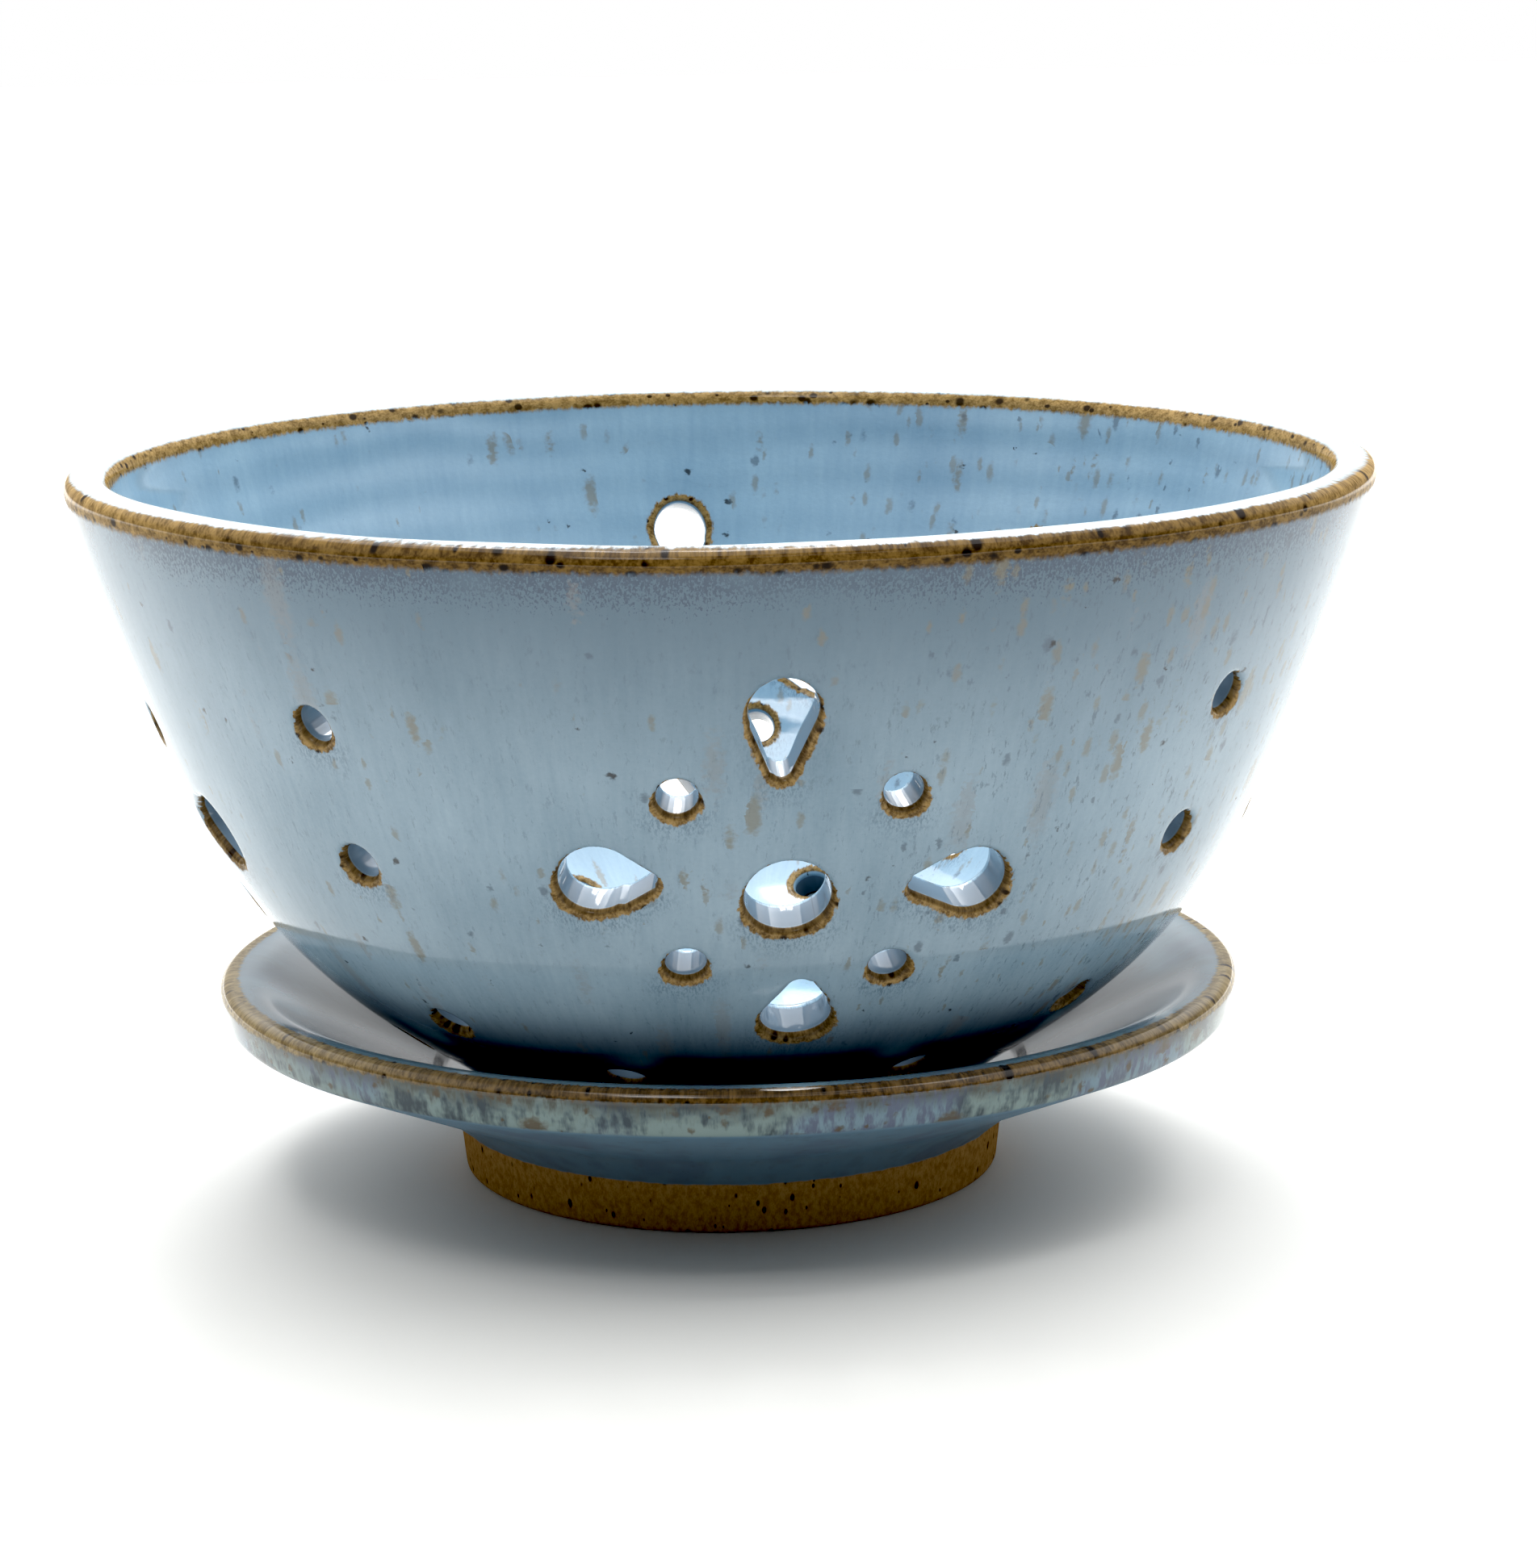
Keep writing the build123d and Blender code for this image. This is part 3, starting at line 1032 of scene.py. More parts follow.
@dataclass(frozen=True)
class SaucerGlaze:
    """Finish of the saucer: the same glaze with heavier runs on the rim, and a bare clay foot.

    The first four places are distances along the saucer's outline, in millimetres, and a span is the
    pair of values between which a mask goes from 0 to 1.
    """

    collar_along: float
    face_start: float
    face_end: float
    rim_along: float
    deep: tuple = linear(66, 92, 106)
    pale: tuple = linear(101, 126, 139)
    run_dark: tuple = linear(44, 58, 66)
    run_pale: tuple = linear(112, 131, 130)
    # A bluer tone underneath, lighter than the body as painted bounce light
    under: tuple = linear(92, 118, 138)
    lilac: tuple = linear(78, 88, 108)
    ochre: tuple = linear(72, 60, 40)
    breaking: tuple = linear(54, 50, 40)
    # Painted shade and light: the rim clay is dark in front and lighter at the sides
    rim_clay: ClayFinish = ClayFinish(linear(96, 74, 40), linear(44, 31, 14), linear(16, 9, 5), 0.6)
    lit_side_clay: ClayFinish = ClayFinish(linear(154, 136, 96), linear(102, 86, 56), linear(44, 32, 18), 0.6)
    foot_clay: ClayFinish = ClayFinish(linear(160, 125, 76), linear(126, 94, 52), linear(30, 19, 10), 0.16)
    coat: GlassCoat = GlassCoat(coat_roughness=0.13, bump_depth=0.14)
    gloss: float = 0.25
    broken_gloss: float = 0.55
    bare_gloss: float = 0.85
    front_reach: float = 60.0

    # Melted body, with lilac clouds, and duller underneath, with a bluer tone there that is lighter as
    # painted bounce light
    runs: float = 0.5
    drift: float = 1.2
    cloud: Grain = Grain(0.08)
    cloud_span: tuple = (0.5, 0.66)
    cloud_share: float = 0.35
    under_soft: float = 0.5
    under_share: float = 0.75
    under_dull: float = 0.7

    # Upright face of the rim, with the share of brown spots off it and on it
    face_soft: float = 0.3
    face_fade: float = 1.5
    face_depth: float = 0.6
    run_squeeze: float = 0.3
    run_grain: Grain = Grain(0.8, 3.0, 0.65)
    run_share: float = 0.45
    patch_squeeze: float = 1.6
    patch_grain: Grain = Grain(0.13, 3.0, 0.6)
    patch_share: float = 0.55
    tone_span: tuple = (0.4, 0.58)
    blue_span: tuple = (0.4, 0.6)
    hue: Grain = Grain(0.05, 1.0)
    hue_span: tuple = (0.52, 0.62)
    breaking_ragged: float = 7.0
    breaking_start: float = 2.0
    breaking_end: float = 0.3
    breaking_share: float = 0.85
    blots: Spots = Spots(cell=4.4, stretch=0.75, share=0.4, spot=0.5, cloud=0.6)
    dots: Spots = Spots(cell=1.7, stretch=1.2, share=0.5, spot=0.4, cloud=0.8)
    spot_shares: tuple = (0.1, 0.9)

    # Clay at the rim, at the sides and in front, and on the foot
    rim_bands: tuple = (2.0, 1.45)
    rim_ragged: float = 1.3
    broken_dull: float = 0.4
    collar_waver: Grain = Grain(0.3, 1.0)
    collar_reach: float = 0.5
    collar_soft: float = 0.15

    def face(self, on: Surface, colour: Reading, on_face: Reading, along: Reading) -> tuple:
        """Adds the runs and the brown spots of the rim's upright face, which breaks brown at its top.

        Args:
            on: Place on the piece.
            colour: Colour so far.
            on_face: 1 on the face, else 0.
            along: Distance along the saucer's outline.

        Returns:
            The colour and the runs.
        """
        desk = on.desk
        runs = desk.noise(on.drawn(self.run_squeeze), self.run_grain)
        patches = desk.noise(on.drawn(self.patch_squeeze), self.patch_grain)
        tone = desk.math("MULTIPLY_ADD", runs, self.run_share, desk.times(patches, self.patch_share))
        face = desk.blend(desk.ease(tone, *self.tone_span), self.run_dark, self.run_pale)
        blue = desk.blend(desk.ease(runs, *self.blue_span), self.lilac, self.pale)
        face = desk.blend(desk.ease(desk.noise(on.wrap, self.hue), *self.hue_span), face, blue)
        swing = desk.math("SUBTRACT", runs, NOISE_MEAN)
        ragged = desk.math("MULTIPLY_ADD", swing, self.breaking_ragged, along)
        start, end = self.face_start + self.breaking_start, self.face_end - self.breaking_end
        breaking = desk.times(desk.ease(ragged, start, end), self.breaking_share)
        face = desk.blend(breaking, face, self.breaking)
        colour = desk.blend(on_face, colour, face)
        spots = desk.math("MAXIMUM", on.specks(self.blots), on.specks(self.dots))
        spots = desk.times(spots, desk.between(on_face, *self.spot_shares))
        return desk.blend(spots, colour, self.ochre), runs

    def material(self, effects: GlazeEffects) -> bpy.types.Material:
        """Builds the material.

        Args:
            effects: The shared shader groups.

        Returns:
            The material.
        """
        material, desk, shader, on = new_material("saucer glaze", effects)
        along = on.fact(Fact.ALONG)

        tones = {"Deep": self.deep, "Pale": self.pale, "Runs": self.runs, "Drift": self.drift}
        body = desk.group(effects.body, Wrap=on.wrap, **tones)
        # Bluer tone underneath, whose lightness is painted bounce light
        under = desk.ease(along, self.face_start + self.under_soft, self.face_start - self.under_soft)
        colour = desk.blend(desk.times(under, self.under_share), body.outputs["Color"], self.under)
        cloud = desk.ease(desk.noise(on.wrap, self.cloud), *self.cloud_span)
        colour = desk.blend(desk.times(cloud, self.cloud_share), colour, self.lilac)
        on_face = desk.times(
            desk.ease(along, self.face_start - self.face_soft, self.face_start + self.face_soft),
            desk.ease(along, self.face_end + self.face_fade, self.face_end),
        )
        colour, runs = self.face(on, colour, on_face, along)

        rim_clay, foot_clay = on.clay(self.rim_clay), on.clay(self.foot_clay)
        from_rim = desk.math("ABSOLUTE", desk.math("SUBTRACT", along, self.rim_along))
        front = on.front(self.front_reach)
        broken = on.edge(from_rim, desk.between(front, *self.rim_bands), self.rim_ragged)
        # Painted shade and light: the rim clay darkens in front and is lighter at the sides
        rim_colour = desk.blend(
            front, on.clay(self.lit_side_clay).outputs["Color"], rim_clay.outputs["Color"]
        )
        colour = desk.blend(broken, colour, rim_colour)
        waver = desk.swing(on.wrap, self.collar_waver, self.collar_reach)
        glazed, clear = self.collar_along + self.collar_soft, self.collar_along - self.collar_soft
        bare = desk.ease(desk.math("ADD", along, waver), glazed, clear)
        desk.feed(shader.inputs["Base Color"], desk.blend(bare, colour, foot_clay.outputs["Color"]))

        glossy = desk.between(broken, self.gloss, self.broken_gloss)
        desk.feed(shader.inputs["Roughness"], desk.between(bare, glossy, self.bare_gloss))
        skin = desk.times(runs, on_face, self.face_depth)
        height = desk.between(broken, skin, rim_clay.outputs["Height"])
        height = desk.between(bare, height, foot_clay.outputs["Height"])
        dull = desk.math("MAXIMUM", desk.times(broken, self.broken_dull), bare)
        dull = desk.math("MAXIMUM", dull, desk.times(under, self.under_dull))
        self.coat.lay(desk, shader, desk.math("SUBTRACT", 1.0, dull), height)
        return material


@dataclass(frozen=True)
class ThrowingMarks:
    """Marks of the wheel: finger rings inside and a slow wobble of the wall.

    Sizes are millimetres, and the wobble's scale is for each metre. Nothing wobbles below the steady
    height, so that a piece still stands and seats flat. Points closer than the weld become one.
    """

    ring_depth: float
    ring_pitch: float
    wobble: float
    wobble_scale: float
    steady_height: float
    seed: int
    weld: float = 0.02


class Wheel:
    """Geometry Nodes tree that turns a panel about the axis and gives it its throwing marks."""

    # Inputs of the tree that are lengths
    LENGTHS = ("Ring Depth", "Ring Pitch", "Wobble", "Steady Height", "Weld")

    # Height in which the marks set in, how far the wobble bends the rings, and the wobble's detail
    MARKS_FADE = 20 * MM
    RING_WAVER = 2.0
    WOBBLE_DETAIL = 1.0

    def __init__(self) -> None:
        """Builds the tree once for both pieces."""
        inputs = {
            "Geometry": "NodeSocketGeometry",
            "Repeats": "NodeSocketInt",
            "Seed": "NodeSocketInt",
            "Material": "NodeSocketMaterial",
            **dict.fromkeys(self.LENGTHS, FLOAT),
            "Wobble Scale": FLOAT,
        }
        self.tree, desk, given, result = new_group(
            "thrown on the wheel", inputs, {"Geometry": "NodeSocketGeometry"}, "GeometryNodeTree"
        )
        self.sockets = {
            item.name: item.identifier
            for item in self.tree.interface.items_tree
            if item.item_type == "SOCKET" and item.in_out == "INPUT"
        }
        turned = self.turn_panel(desk, given["Geometry"])
        repeated = self.repeat_round(desk, turned, given["Repeats"])
        marked = self.throwing_marks(desk, repeated, given)
        welded = desk.node(
            "GeometryNodeMergeByDistance", {"Geometry": marked, "Distance": given["Weld"]}
        )
        smooth = desk.node("GeometryNodeSetShadeSmooth", {"Geometry": welded.outputs["Geometry"]})
        coated = desk.node(
            "GeometryNodeSetMaterial",
            {"Geometry": smooth.outputs["Geometry"], "Material": given["Material"]},
        )
        desk.feed(result.inputs["Geometry"], coated.outputs["Geometry"])

    @staticmethod
    def turn_panel(desk: NodeDesk, flat: Socket) -> Socket:
        """Bends the flat panel, whose x, y and z are turn, radius and height, round the axis.

        Args:
            desk: Desk of the tree.
            flat: The flat panel.

        Returns:
            The bent panel.
        """
        turn, radius, height = desk.parted(desk.node("GeometryNodeInputPosition").outputs[0])
        across = desk.times(radius, desk.math("SINE", turn))
        away = desk.times(radius, desk.math("COSINE", turn), -1.0)
        place = desk.joined(X=across, Y=away, Z=height)
        bent = desk.node("GeometryNodeSetPosition", {"Geometry": flat, "Position": place})
        return bent.outputs["Geometry"]

    @staticmethod
    def repeat_round(
        desk: NodeDesk, panel: Socket, repeats: Socket
    ) -> Socket:
        """Sets copies of the panel evenly round the axis and makes them real.

        Args:
            desk: Desk of the tree.
            panel: The bent panel.
            repeats: Number of copies.

        Returns:
            All copies as one mesh.
        """
        spots = desk.node("GeometryNodePoints", {"Count": repeats})
        index = desk.node("GeometryNodeInputIndex").outputs[0]
        turn = desk.joined(Z=desk.times(index, desk.math("DIVIDE", math.tau, repeats)))
        copies = desk.node(
            "GeometryNodeInstanceOnPoints",
            {"Points": spots.outputs[0], "Instance": panel, "Rotation": turn},
        )
        real = desk.node("GeometryNodeRealizeInstances", {"Geometry": copies.outputs["Instances"]})
        return real.outputs["Geometry"]

    def throwing_marks(
        self, desk: NodeDesk, geometry: Socket, given: bpy.types.NodeOutputs
    ) -> Socket:
        """Adds the slow wobble of a thrown wall and faint finger rings on its inside.

        Args:
            desk: Desk of the tree.
            geometry: The even piece.
            given: Readings of the tree's inputs.

        Returns:
            The marked piece.
        """
        place = desk.node("GeometryNodeInputPosition").outputs[0]
        height = desk.parted(place)["Z"]
        steady = given["Steady Height"]
        free = desk.ease(height, steady, desk.math("ADD", steady, self.MARKS_FADE))
        feeds = {
            "Vector": place,
            "W": given["Seed"],
            "Scale": given["Wobble Scale"],
            "Detail": self.WOBBLE_DETAIL,
        }
        noise = desk.node("ShaderNodeTexNoise", feeds, noise_dimensions="4D")
        sway = desk.vector("SUBTRACT", noise.outputs["Color"], (NOISE_MEAN,) * 3)
        sway = desk.scaled(desk.scaled(sway, given["Wobble"]), free)
        phase = desk.math("DIVIDE", height, given["Ring Pitch"])
        phase = desk.math("MULTIPLY_ADD", noise.outputs[0], self.RING_WAVER, phase)
        ring = desk.math("SINE", desk.times(phase, math.tau))
        name = {"Name": Fact.INSIDE.value}
        inside = desk.node("GeometryNodeInputNamedAttribute", name, data_type="FLOAT").outputs[0]
        ring = desk.times(ring, desk.times(inside, free), given["Ring Depth"])
        normal = desk.node("GeometryNodeInputNormal").outputs[0]
        offset = desk.vector("ADD", sway, desk.scaled(normal, ring))
        moved = desk.node("GeometryNodeSetPosition", {"Geometry": geometry, "Offset": offset})
        return moved.outputs["Geometry"]

    def throw(
        self, name: str, panel: Panel, repeats: int, marks: ThrowingMarks, material: bpy.types.Material
    ) -> bpy.types.Object:
        """Turns a panel into a finished piece.

        Args:
            name: Name of the piece.
            panel: The panel that repeats round the axis.
            repeats: How often it repeats.
            marks: The piece's throwing marks.
            material: The piece's glaze.

        Returns:
            The piece, a plain closed mesh at the origin.
        """
        lengths = (marks.ring_depth, marks.ring_pitch, marks.wobble, marks.steady_height, marks.weld)
        settings = {
            "Repeats": repeats,
            "Seed": marks.seed,
            "Material": material,
            **{label: length * MM for label, length in zip(self.LENGTHS, lengths)},
            "Wobble Scale": marks.wobble_scale,
        }
        blank = bpy.data.objects.new(name + "_blank", panel.mesh(name + "_panel"))
        bpy.context.scene.collection.objects.link(blank)
        modifier = blank.modifiers.new("wheel", "NODES")
        modifier.node_group = self.tree
        for label, value in settings.items():
            modifier[self.sockets[label]] = value
        bpy.context.view_layer.update()
        depsgraph = bpy.context.evaluated_depsgraph_get()
        mesh = bpy.data.meshes.new_from_object(blank.evaluated_get(depsgraph), depsgraph=depsgraph)
        mesh.name = name
        bpy.data.objects.remove(blank)
        shape = bmesh.new()
        shape.from_mesh(mesh)
        bmesh.ops.recalc_face_normals(shape, faces=shape.faces)
        open_edges = sum(1 for edge in shape.edges if not edge.is_manifold)
        shape.to_mesh(mesh)
        shape.free()
        piece = bpy.data.objects.new(name, mesh)
        bpy.context.scene.collection.objects.link(piece)
        triangles = sum(len(face.vertices) - 2 for face in mesh.polygons)
        log.info("%s: %d triangles, %d open edges", name, triangles, open_edges)
        return piece


@dataclass(frozen=True)
class Hole:
    """One hole: a round head, a tip some way off that may be smaller, and its place on the wall."""

    # Fewest points on a head, along a side and on a tip
    HEAD_POINTS = 12
    SIDE_POINTS = 3
    TIP_POINTS = 7

    turn: float
    rise: float
    across: float
    head: float
    tip: float
    span: float = 0.0
    spin: float = 0.0

    def distance(self, across: np.ndarray, up: np.ndarray) -> np.ndarray:
        """Distance from the hole's edge, negative inside the hole.

        Args:
            across: Distance sideways from the hole's place, in millimetres.
            up: Distance up the wall from the hole's place, in millimetres.

        Returns:
            The distances.
        """
        turn = math.radians(self.spin)
        x = np.abs(across * math.cos(turn) + up * math.sin(turn))
        y = self.span / 2 - (up * math.cos(turn) - across * math.sin(turn))
        from_head = np.hypot(x, y) - self.head
        if self.span == 0:
            return from_head
        slant = (self.head - self.tip) / self.span
        run = math.sqrt(1 - slant**2)
        key = -slant * x + run * y
        from_tip = np.hypot(x, y - self.span) - self.tip
        from_side = run * x + slant * y - self.head
        return np.where(key < 0, from_head, np.where(key > run * self.span, from_tip, from_side))

    def outline(self, spacing: float) -> tuple[np.ndarray, np.ndarray]:
        """Points round the hole's edge and their outward directions, on the wall.

        Args:
            spacing: Distance between points.

        Returns:
            The points and the directions, each as (across, up).
        """
        slant = (self.head - self.tip) / self.span if self.span else 0.0
        tilt = math.asin(slant)
        parts = []
        head_turn = math.pi + 2 * tilt if self.span else math.tau
        count = max(self.HEAD_POINTS, round(self.head * head_turn / spacing))
        start = math.pi - tilt
        angles = start + head_turn * np.arange(count) / count
        parts.append((angles, np.zeros((count, 2)), np.full(count, self.head)))
        if self.span:
            run = math.sqrt(self.span**2 - (self.head - self.tip) ** 2)
            steps = max(self.SIDE_POINTS, round(run / spacing))
            along = np.arange(steps) / steps
            side = np.column_stack([np.zeros(steps), along * self.span])
            radius = self.head + along * (self.tip - self.head)
            parts.append((np.full(steps, tilt), side, radius))
            tip_turn = math.pi - 2 * tilt
            tip_count = max(self.TIP_POINTS, round(self.tip * tip_turn / spacing))
            tip_angles = tilt + tip_turn * np.arange(tip_count) / tip_count
            tip_middle = np.tile([0.0, self.span], (tip_count, 1))
            parts.append((tip_angles, tip_middle, np.full(tip_count, self.tip)))
            other_side = side[::-1] + [0, self.span / steps]
            parts.append((np.full(steps, start), other_side, radius[::-1]))
        angles, middles, radii = (np.concatenate(values) for values in zip(*parts))
        normals = np.column_stack([np.cos(angles), np.sin(angles)])
        points = middles + normals * radii[:, None]
        points[:, 1] = self.span / 2 - points[:, 1]
        normals[:, 1] = -normals[:, 1]
        turn = math.radians(self.spin)
        rotate = np.array([[math.cos(turn), -math.sin(turn)], [math.sin(turn), math.cos(turn)]])
        return points @ rotate.T, normals @ rotate.T


@dataclass(frozen=True)
class Slip:
    """How far the hand cut a petal off its even place and size, in millimetres."""

    out: float
    aside: float
    longer: float
    wider: float


@dataclass(frozen=True)
class HandCut:
    """What differs from flower to flower: the slip of the top petal, and how high the low dots are."""

    top: Slip = Slip(out=0.6, aside=-2.0, longer=0.7, wider=-0.6)
    low_dots_up: float = 0.0


@dataclass
class ColanderBowl:
    """The pierced bowl. Sizes repeat the solid's; heights are from the bowl's own foot.

    The wall's two sheets run from the sheet's start to its end, measured up the outside, and plain
    turned bands close them below and above. Slips of the heart and the dots are across and up.
    """

    seat_height: float = 12.0
    rim_diameter: float = 165.9
    height: float = 80.1
    wall: float = 5.3
    rim_width: float = 5.6
    rim_rise: float = 0.7
    rim_outer_radius: float = 1.7
    rim_inner_radius: float = 2.6
    rim_lean: float = 12.3
    foot_diameter: float = 67.8
    foot_ring: float = 5.6
    foot_height: float = 2.7
    foot_lean: float = 57.3
    foot_edge_radius: float = 1.0
    recess_depth: float = 3.2
    floor: float = 5.0
    floor_diameter: float = 34.0
    belly_swell: float = 16.8
    belly_height: float = 14.7
    shoulder_swell: float = 28.25
    shoulder_height: float = 27.7
    flare_inset: float = 8.5
    flare_drop: float = 26.3
    even_wall_shares: tuple = (0.8, 0.6, 0.4, 0.2)
    cuts: tuple = (HandCut(), HandCut(), HandCut(Slip(-1.9, -2.0, 0.7, -1.3), 2.6), HandCut())
    heart_slip: tuple = (-0.7, -1.5)
    left_slip: Slip = Slip(out=0.9, aside=1.1, longer=-0.5, wider=0.5)
    low_slip: Slip = Slip(out=-0.3, aside=-1.5, longer=-0.9, wider=-0.3)
    right_slip: Slip = Slip(out=-0.9, aside=0.9, longer=0.3, wider=0.3)
    high_dot_slips: tuple = ((-1.5, 0.4), (0.0, 0.0))
    low_dot_slips: tuple = ((0.3, 0.8), (-0.3, -0.7))
    flower_drop: float = 43.4
    petal_reach: float = 20.7
    petal_diameter: float = 8.8
    petal_length: float = 12.3
    petal_tip_radius: float = 1.2
    heart_diameter: float = 10.2
    dot_diameter: float = 4.9
    dot_reach: float = 17.4
    column_drops: tuple = (24.0, 42.7, 69.8)
    drain_rise: float = 14.0
    sheet_start: float = 7.5
    sheet_end: float = 87.5
    sheet_back: float = 3 / 8
    sheet_radius: float = 65.0
    spacing: float = 1.45
    clear_share: float = 0.45
    same_place: float = 1e-5
    columns: int = 78
    wall_samples: int = 160
    deepest_wall: float = 21.2
    lip_radius: float = 1.0
    inner_lip_radius: float = 0.9
    lip_steps: int = 5
    bore_steps: int = 2
    hole_spacing: float = 0.62
    skirt: tuple = (0.55, 1.2)
    far_from_holes: float = 12.0
    foot_bend_radius: float = 0.7
    foot_spacing: float = 1.8
    low_wall_start: float = 2.5
    low_wall_step: float = 1.25
    rim_drop: float = 3.2
    rim_rows: int = 3
    rim_spacing: float = 1.2
    floor_rows: int = 18
    floor_shares: tuple = (0.8, 0.6, 0.4, 0.2, 0.0)
    marks: ThrowingMarks = ThrowingMarks(
        ring_depth=0.06, ring_pitch=5.5, wobble=0.9, wobble_scale=22.0, steady_height=16.0, seed=3
    )
    outer: SmoothLine = field(init=False)
    inner: SmoothLine = field(init=False)

    def __post_init__(self) -> None:
        """Works out the two lines of the wall and the thickness between them."""
        foot, rim = self.foot_diameter / 2, self.rim_diameter / 2
        self.outer = SmoothLine(
            [
                (foot, self.foot_height),
                (foot + self.belly_swell, self.belly_height),
                (foot + self.shoulder_swell, self.shoulder_height),
                (rim - self.flare_inset, self.height - self.flare_drop),
                (rim, self.height),
            ],
            leaning(self.foot_lean),
            leaning(self.rim_lean),
        )
        even_rises = np.array(self.even_wall_shares) * self.outer.length
        self.inner = SmoothLine(
            [
                (rim - self.rim_width, self.height + self.rim_rise),
                *self.depth_point(even_rises, self.wall),
                (self.floor_diameter / 2, self.recess_depth + self.floor),
            ],
            -leaning(self.rim_lean),
            np.array([-1.0, 0.0]),
        )
        self.thickness_places = np.linspace(self.sheet_start, self.sheet_end, self.wall_samples)
        self.thicknesses = np.array([self.measure_wall(place) for place in self.thickness_places])

    def depth_point(self, rise: np.ndarray | float, depth: np.ndarray | float) -> np.ndarray:
        """Points in the wall.

        Args:
            rise: Distances up the outside of the wall.
            depth: How deep the points lie under the outside.

        Returns:
            Points (radius, height).
        """
        along = self.outer.direction(rise)
        inwards = np.stack([-along[..., 1], along[..., 0]], axis=-1)
        return self.outer.at(rise) + inwards * np.asarray(depth)[..., None]

    def measure_wall(self, rise: float) -> float:
        """Measures the wall, square to its outside.

        Args:
            rise: Distance up the outside of the wall.

        Returns:
            The thickness there.
        """
        along = self.outer.direction(rise)
        offset = self.inner.points - self.outer.at(rise)
        shift = offset @ along
        depth = offset @ np.array([-along[1], along[0]])
        crossing = [
            i for i in range(len(shift) - 1)
            if shift[i] * shift[i + 1] <= 0 and 0 < depth[i] < self.deepest_wall
        ]
        return float(min(depth[i] for i in crossing))

    def thickness(self, rise: np.ndarray | float) -> np.ndarray:
        """Thickness of the wall this far up it."""
        return np.interp(rise, self.thickness_places, self.thicknesses)

    def petal(self, facing: float, spin: float, slip: Slip) -> Hole:
        """Petal whose tip points at the heart, as the hand cut it.

        Args:
            facing: Turn of the flower from the front, in degrees.
            spin: Turn of the petal round the heart, in degrees, with 0 at the top.
            slip: How far it is off its even place and size.

        Returns:
            The petal.
        """
        head, tip = (self.petal_diameter + slip.wider) / 2, self.petal_tip_radius
        span = self.petal_length + slip.longer - head - tip
        reach = self.petal_reach + slip.out - (head - tip) / 2
        turn = math.radians(spin)
        across = -math.sin(turn) * reach + math.cos(turn) * slip.aside
        up = math.cos(turn) * reach + math.sin(turn) * slip.aside
        return Hole(facing, self.outer.length - self.flower_drop + up, across, head, tip, span, spin)

    def lay_out_holes(self, facing: float, cut: HandCut) -> list[Hole]:
        """Holes of one flower, with the column and the drains beside it, as the hand cut them.

        Args:
            facing: Turn of the flower from the front, in degrees.
            cut: How the flower was cut.

        Returns:
            The holes.
        """
        centre = self.outer.length - self.flower_drop
        quarter = 360 / len(self.cuts)
        dot, dots = self.dot_diameter / 2, self.dot_reach / math.sqrt(2)
        heart = self.heart_diameter / 2
        aside, up = self.heart_slip
        holes = [Hole(facing, centre + up, aside, heart, heart)]
        slips = (cut.top, self.left_slip, self.low_slip, self.right_slip)
        spins = 360 / len(slips) * np.arange(len(slips))
        holes += [self.petal(facing, spin, slip) for spin, slip in zip(spins, slips)]
        dot_rows = ((dots, self.high_dot_slips), (cut.low_dots_up - dots, self.low_dot_slips))
        for level, row in dot_rows:
            for side, (aside, up) in zip((-1, 1), row):
                holes.append(Hole(facing, centre + level + up, side * dots + aside, dot, dot))
        column = facing + quarter / 2
        holes += [Hole(column, self.outer.length - drop, 0, dot, dot) for drop in self.column_drops]
        holes += [Hole(facing + side * quarter / 4, self.drain_rise, 0, dot, dot) for side in (-1, 1)]
        return holes

    def lips(self, holes: list, turn: np.ndarray, rise: np.ndarray) -> tuple[np.ndarray, np.ndarray]:
        """Distance to the nearest hole, and how far the place lies under that hole.

        Args:
            holes: The holes near by.
            turn: Turn of each place, in radians.
            rise: Distance of each place up the wall.

        Returns:
            Distances, and values from -1 above the hole to 1 below it.
        """
        nearest = np.full(turn.shape, self.far_from_holes)
        below = np.zeros(turn.shape)
        radius = self.outer.at(rise)[..., 0]
        nudge = 0.05
        for hole in holes:
            across = (turn - math.radians(hole.turn)) * radius - hole.across
            up = rise - hole.rise
            distance = hole.distance(across, up)
            slope = (hole.distance(across, up + nudge) - hole.distance(across, up - nudge)) / (2 * nudge)
            closer = distance < nearest
            nearest = np.where(closer, distance, nearest)
            below = np.where(closer, -slope, below)
        return nearest, below

    def hole_ring(self, hole: Hole, reach: float) -> tuple[np.ndarray, np.ndarray, np.ndarray]:
        """Ring of places round a hole, this far outside its edge.

        Args:
            hole: The hole.
            reach: Distance from the edge of the bore.

        Returns:
            Turns, rises, and how far each place lies under the hole.
        """
        points, normals = hole.outline(self.hole_spacing)
        places = points + normals * reach
        rise = hole.rise + places[:, 1]
        radius = self.outer.at(rise)[:, 0]
        turn = math.radians(hole.turn) + (places[:, 0] + hole.across) / radius
        return turn, rise, -normals[:, 1]

    def section(self, rise: np.ndarray, depth: np.ndarray | float) -> np.ndarray:
        """Places in the whole part's half section, from rise and depth in the wall."""
        depth = np.broadcast_to(np.asarray(depth, float), np.shape(rise))
        return self.depth_point(rise, depth) + np.array([0.0, self.seat_height])

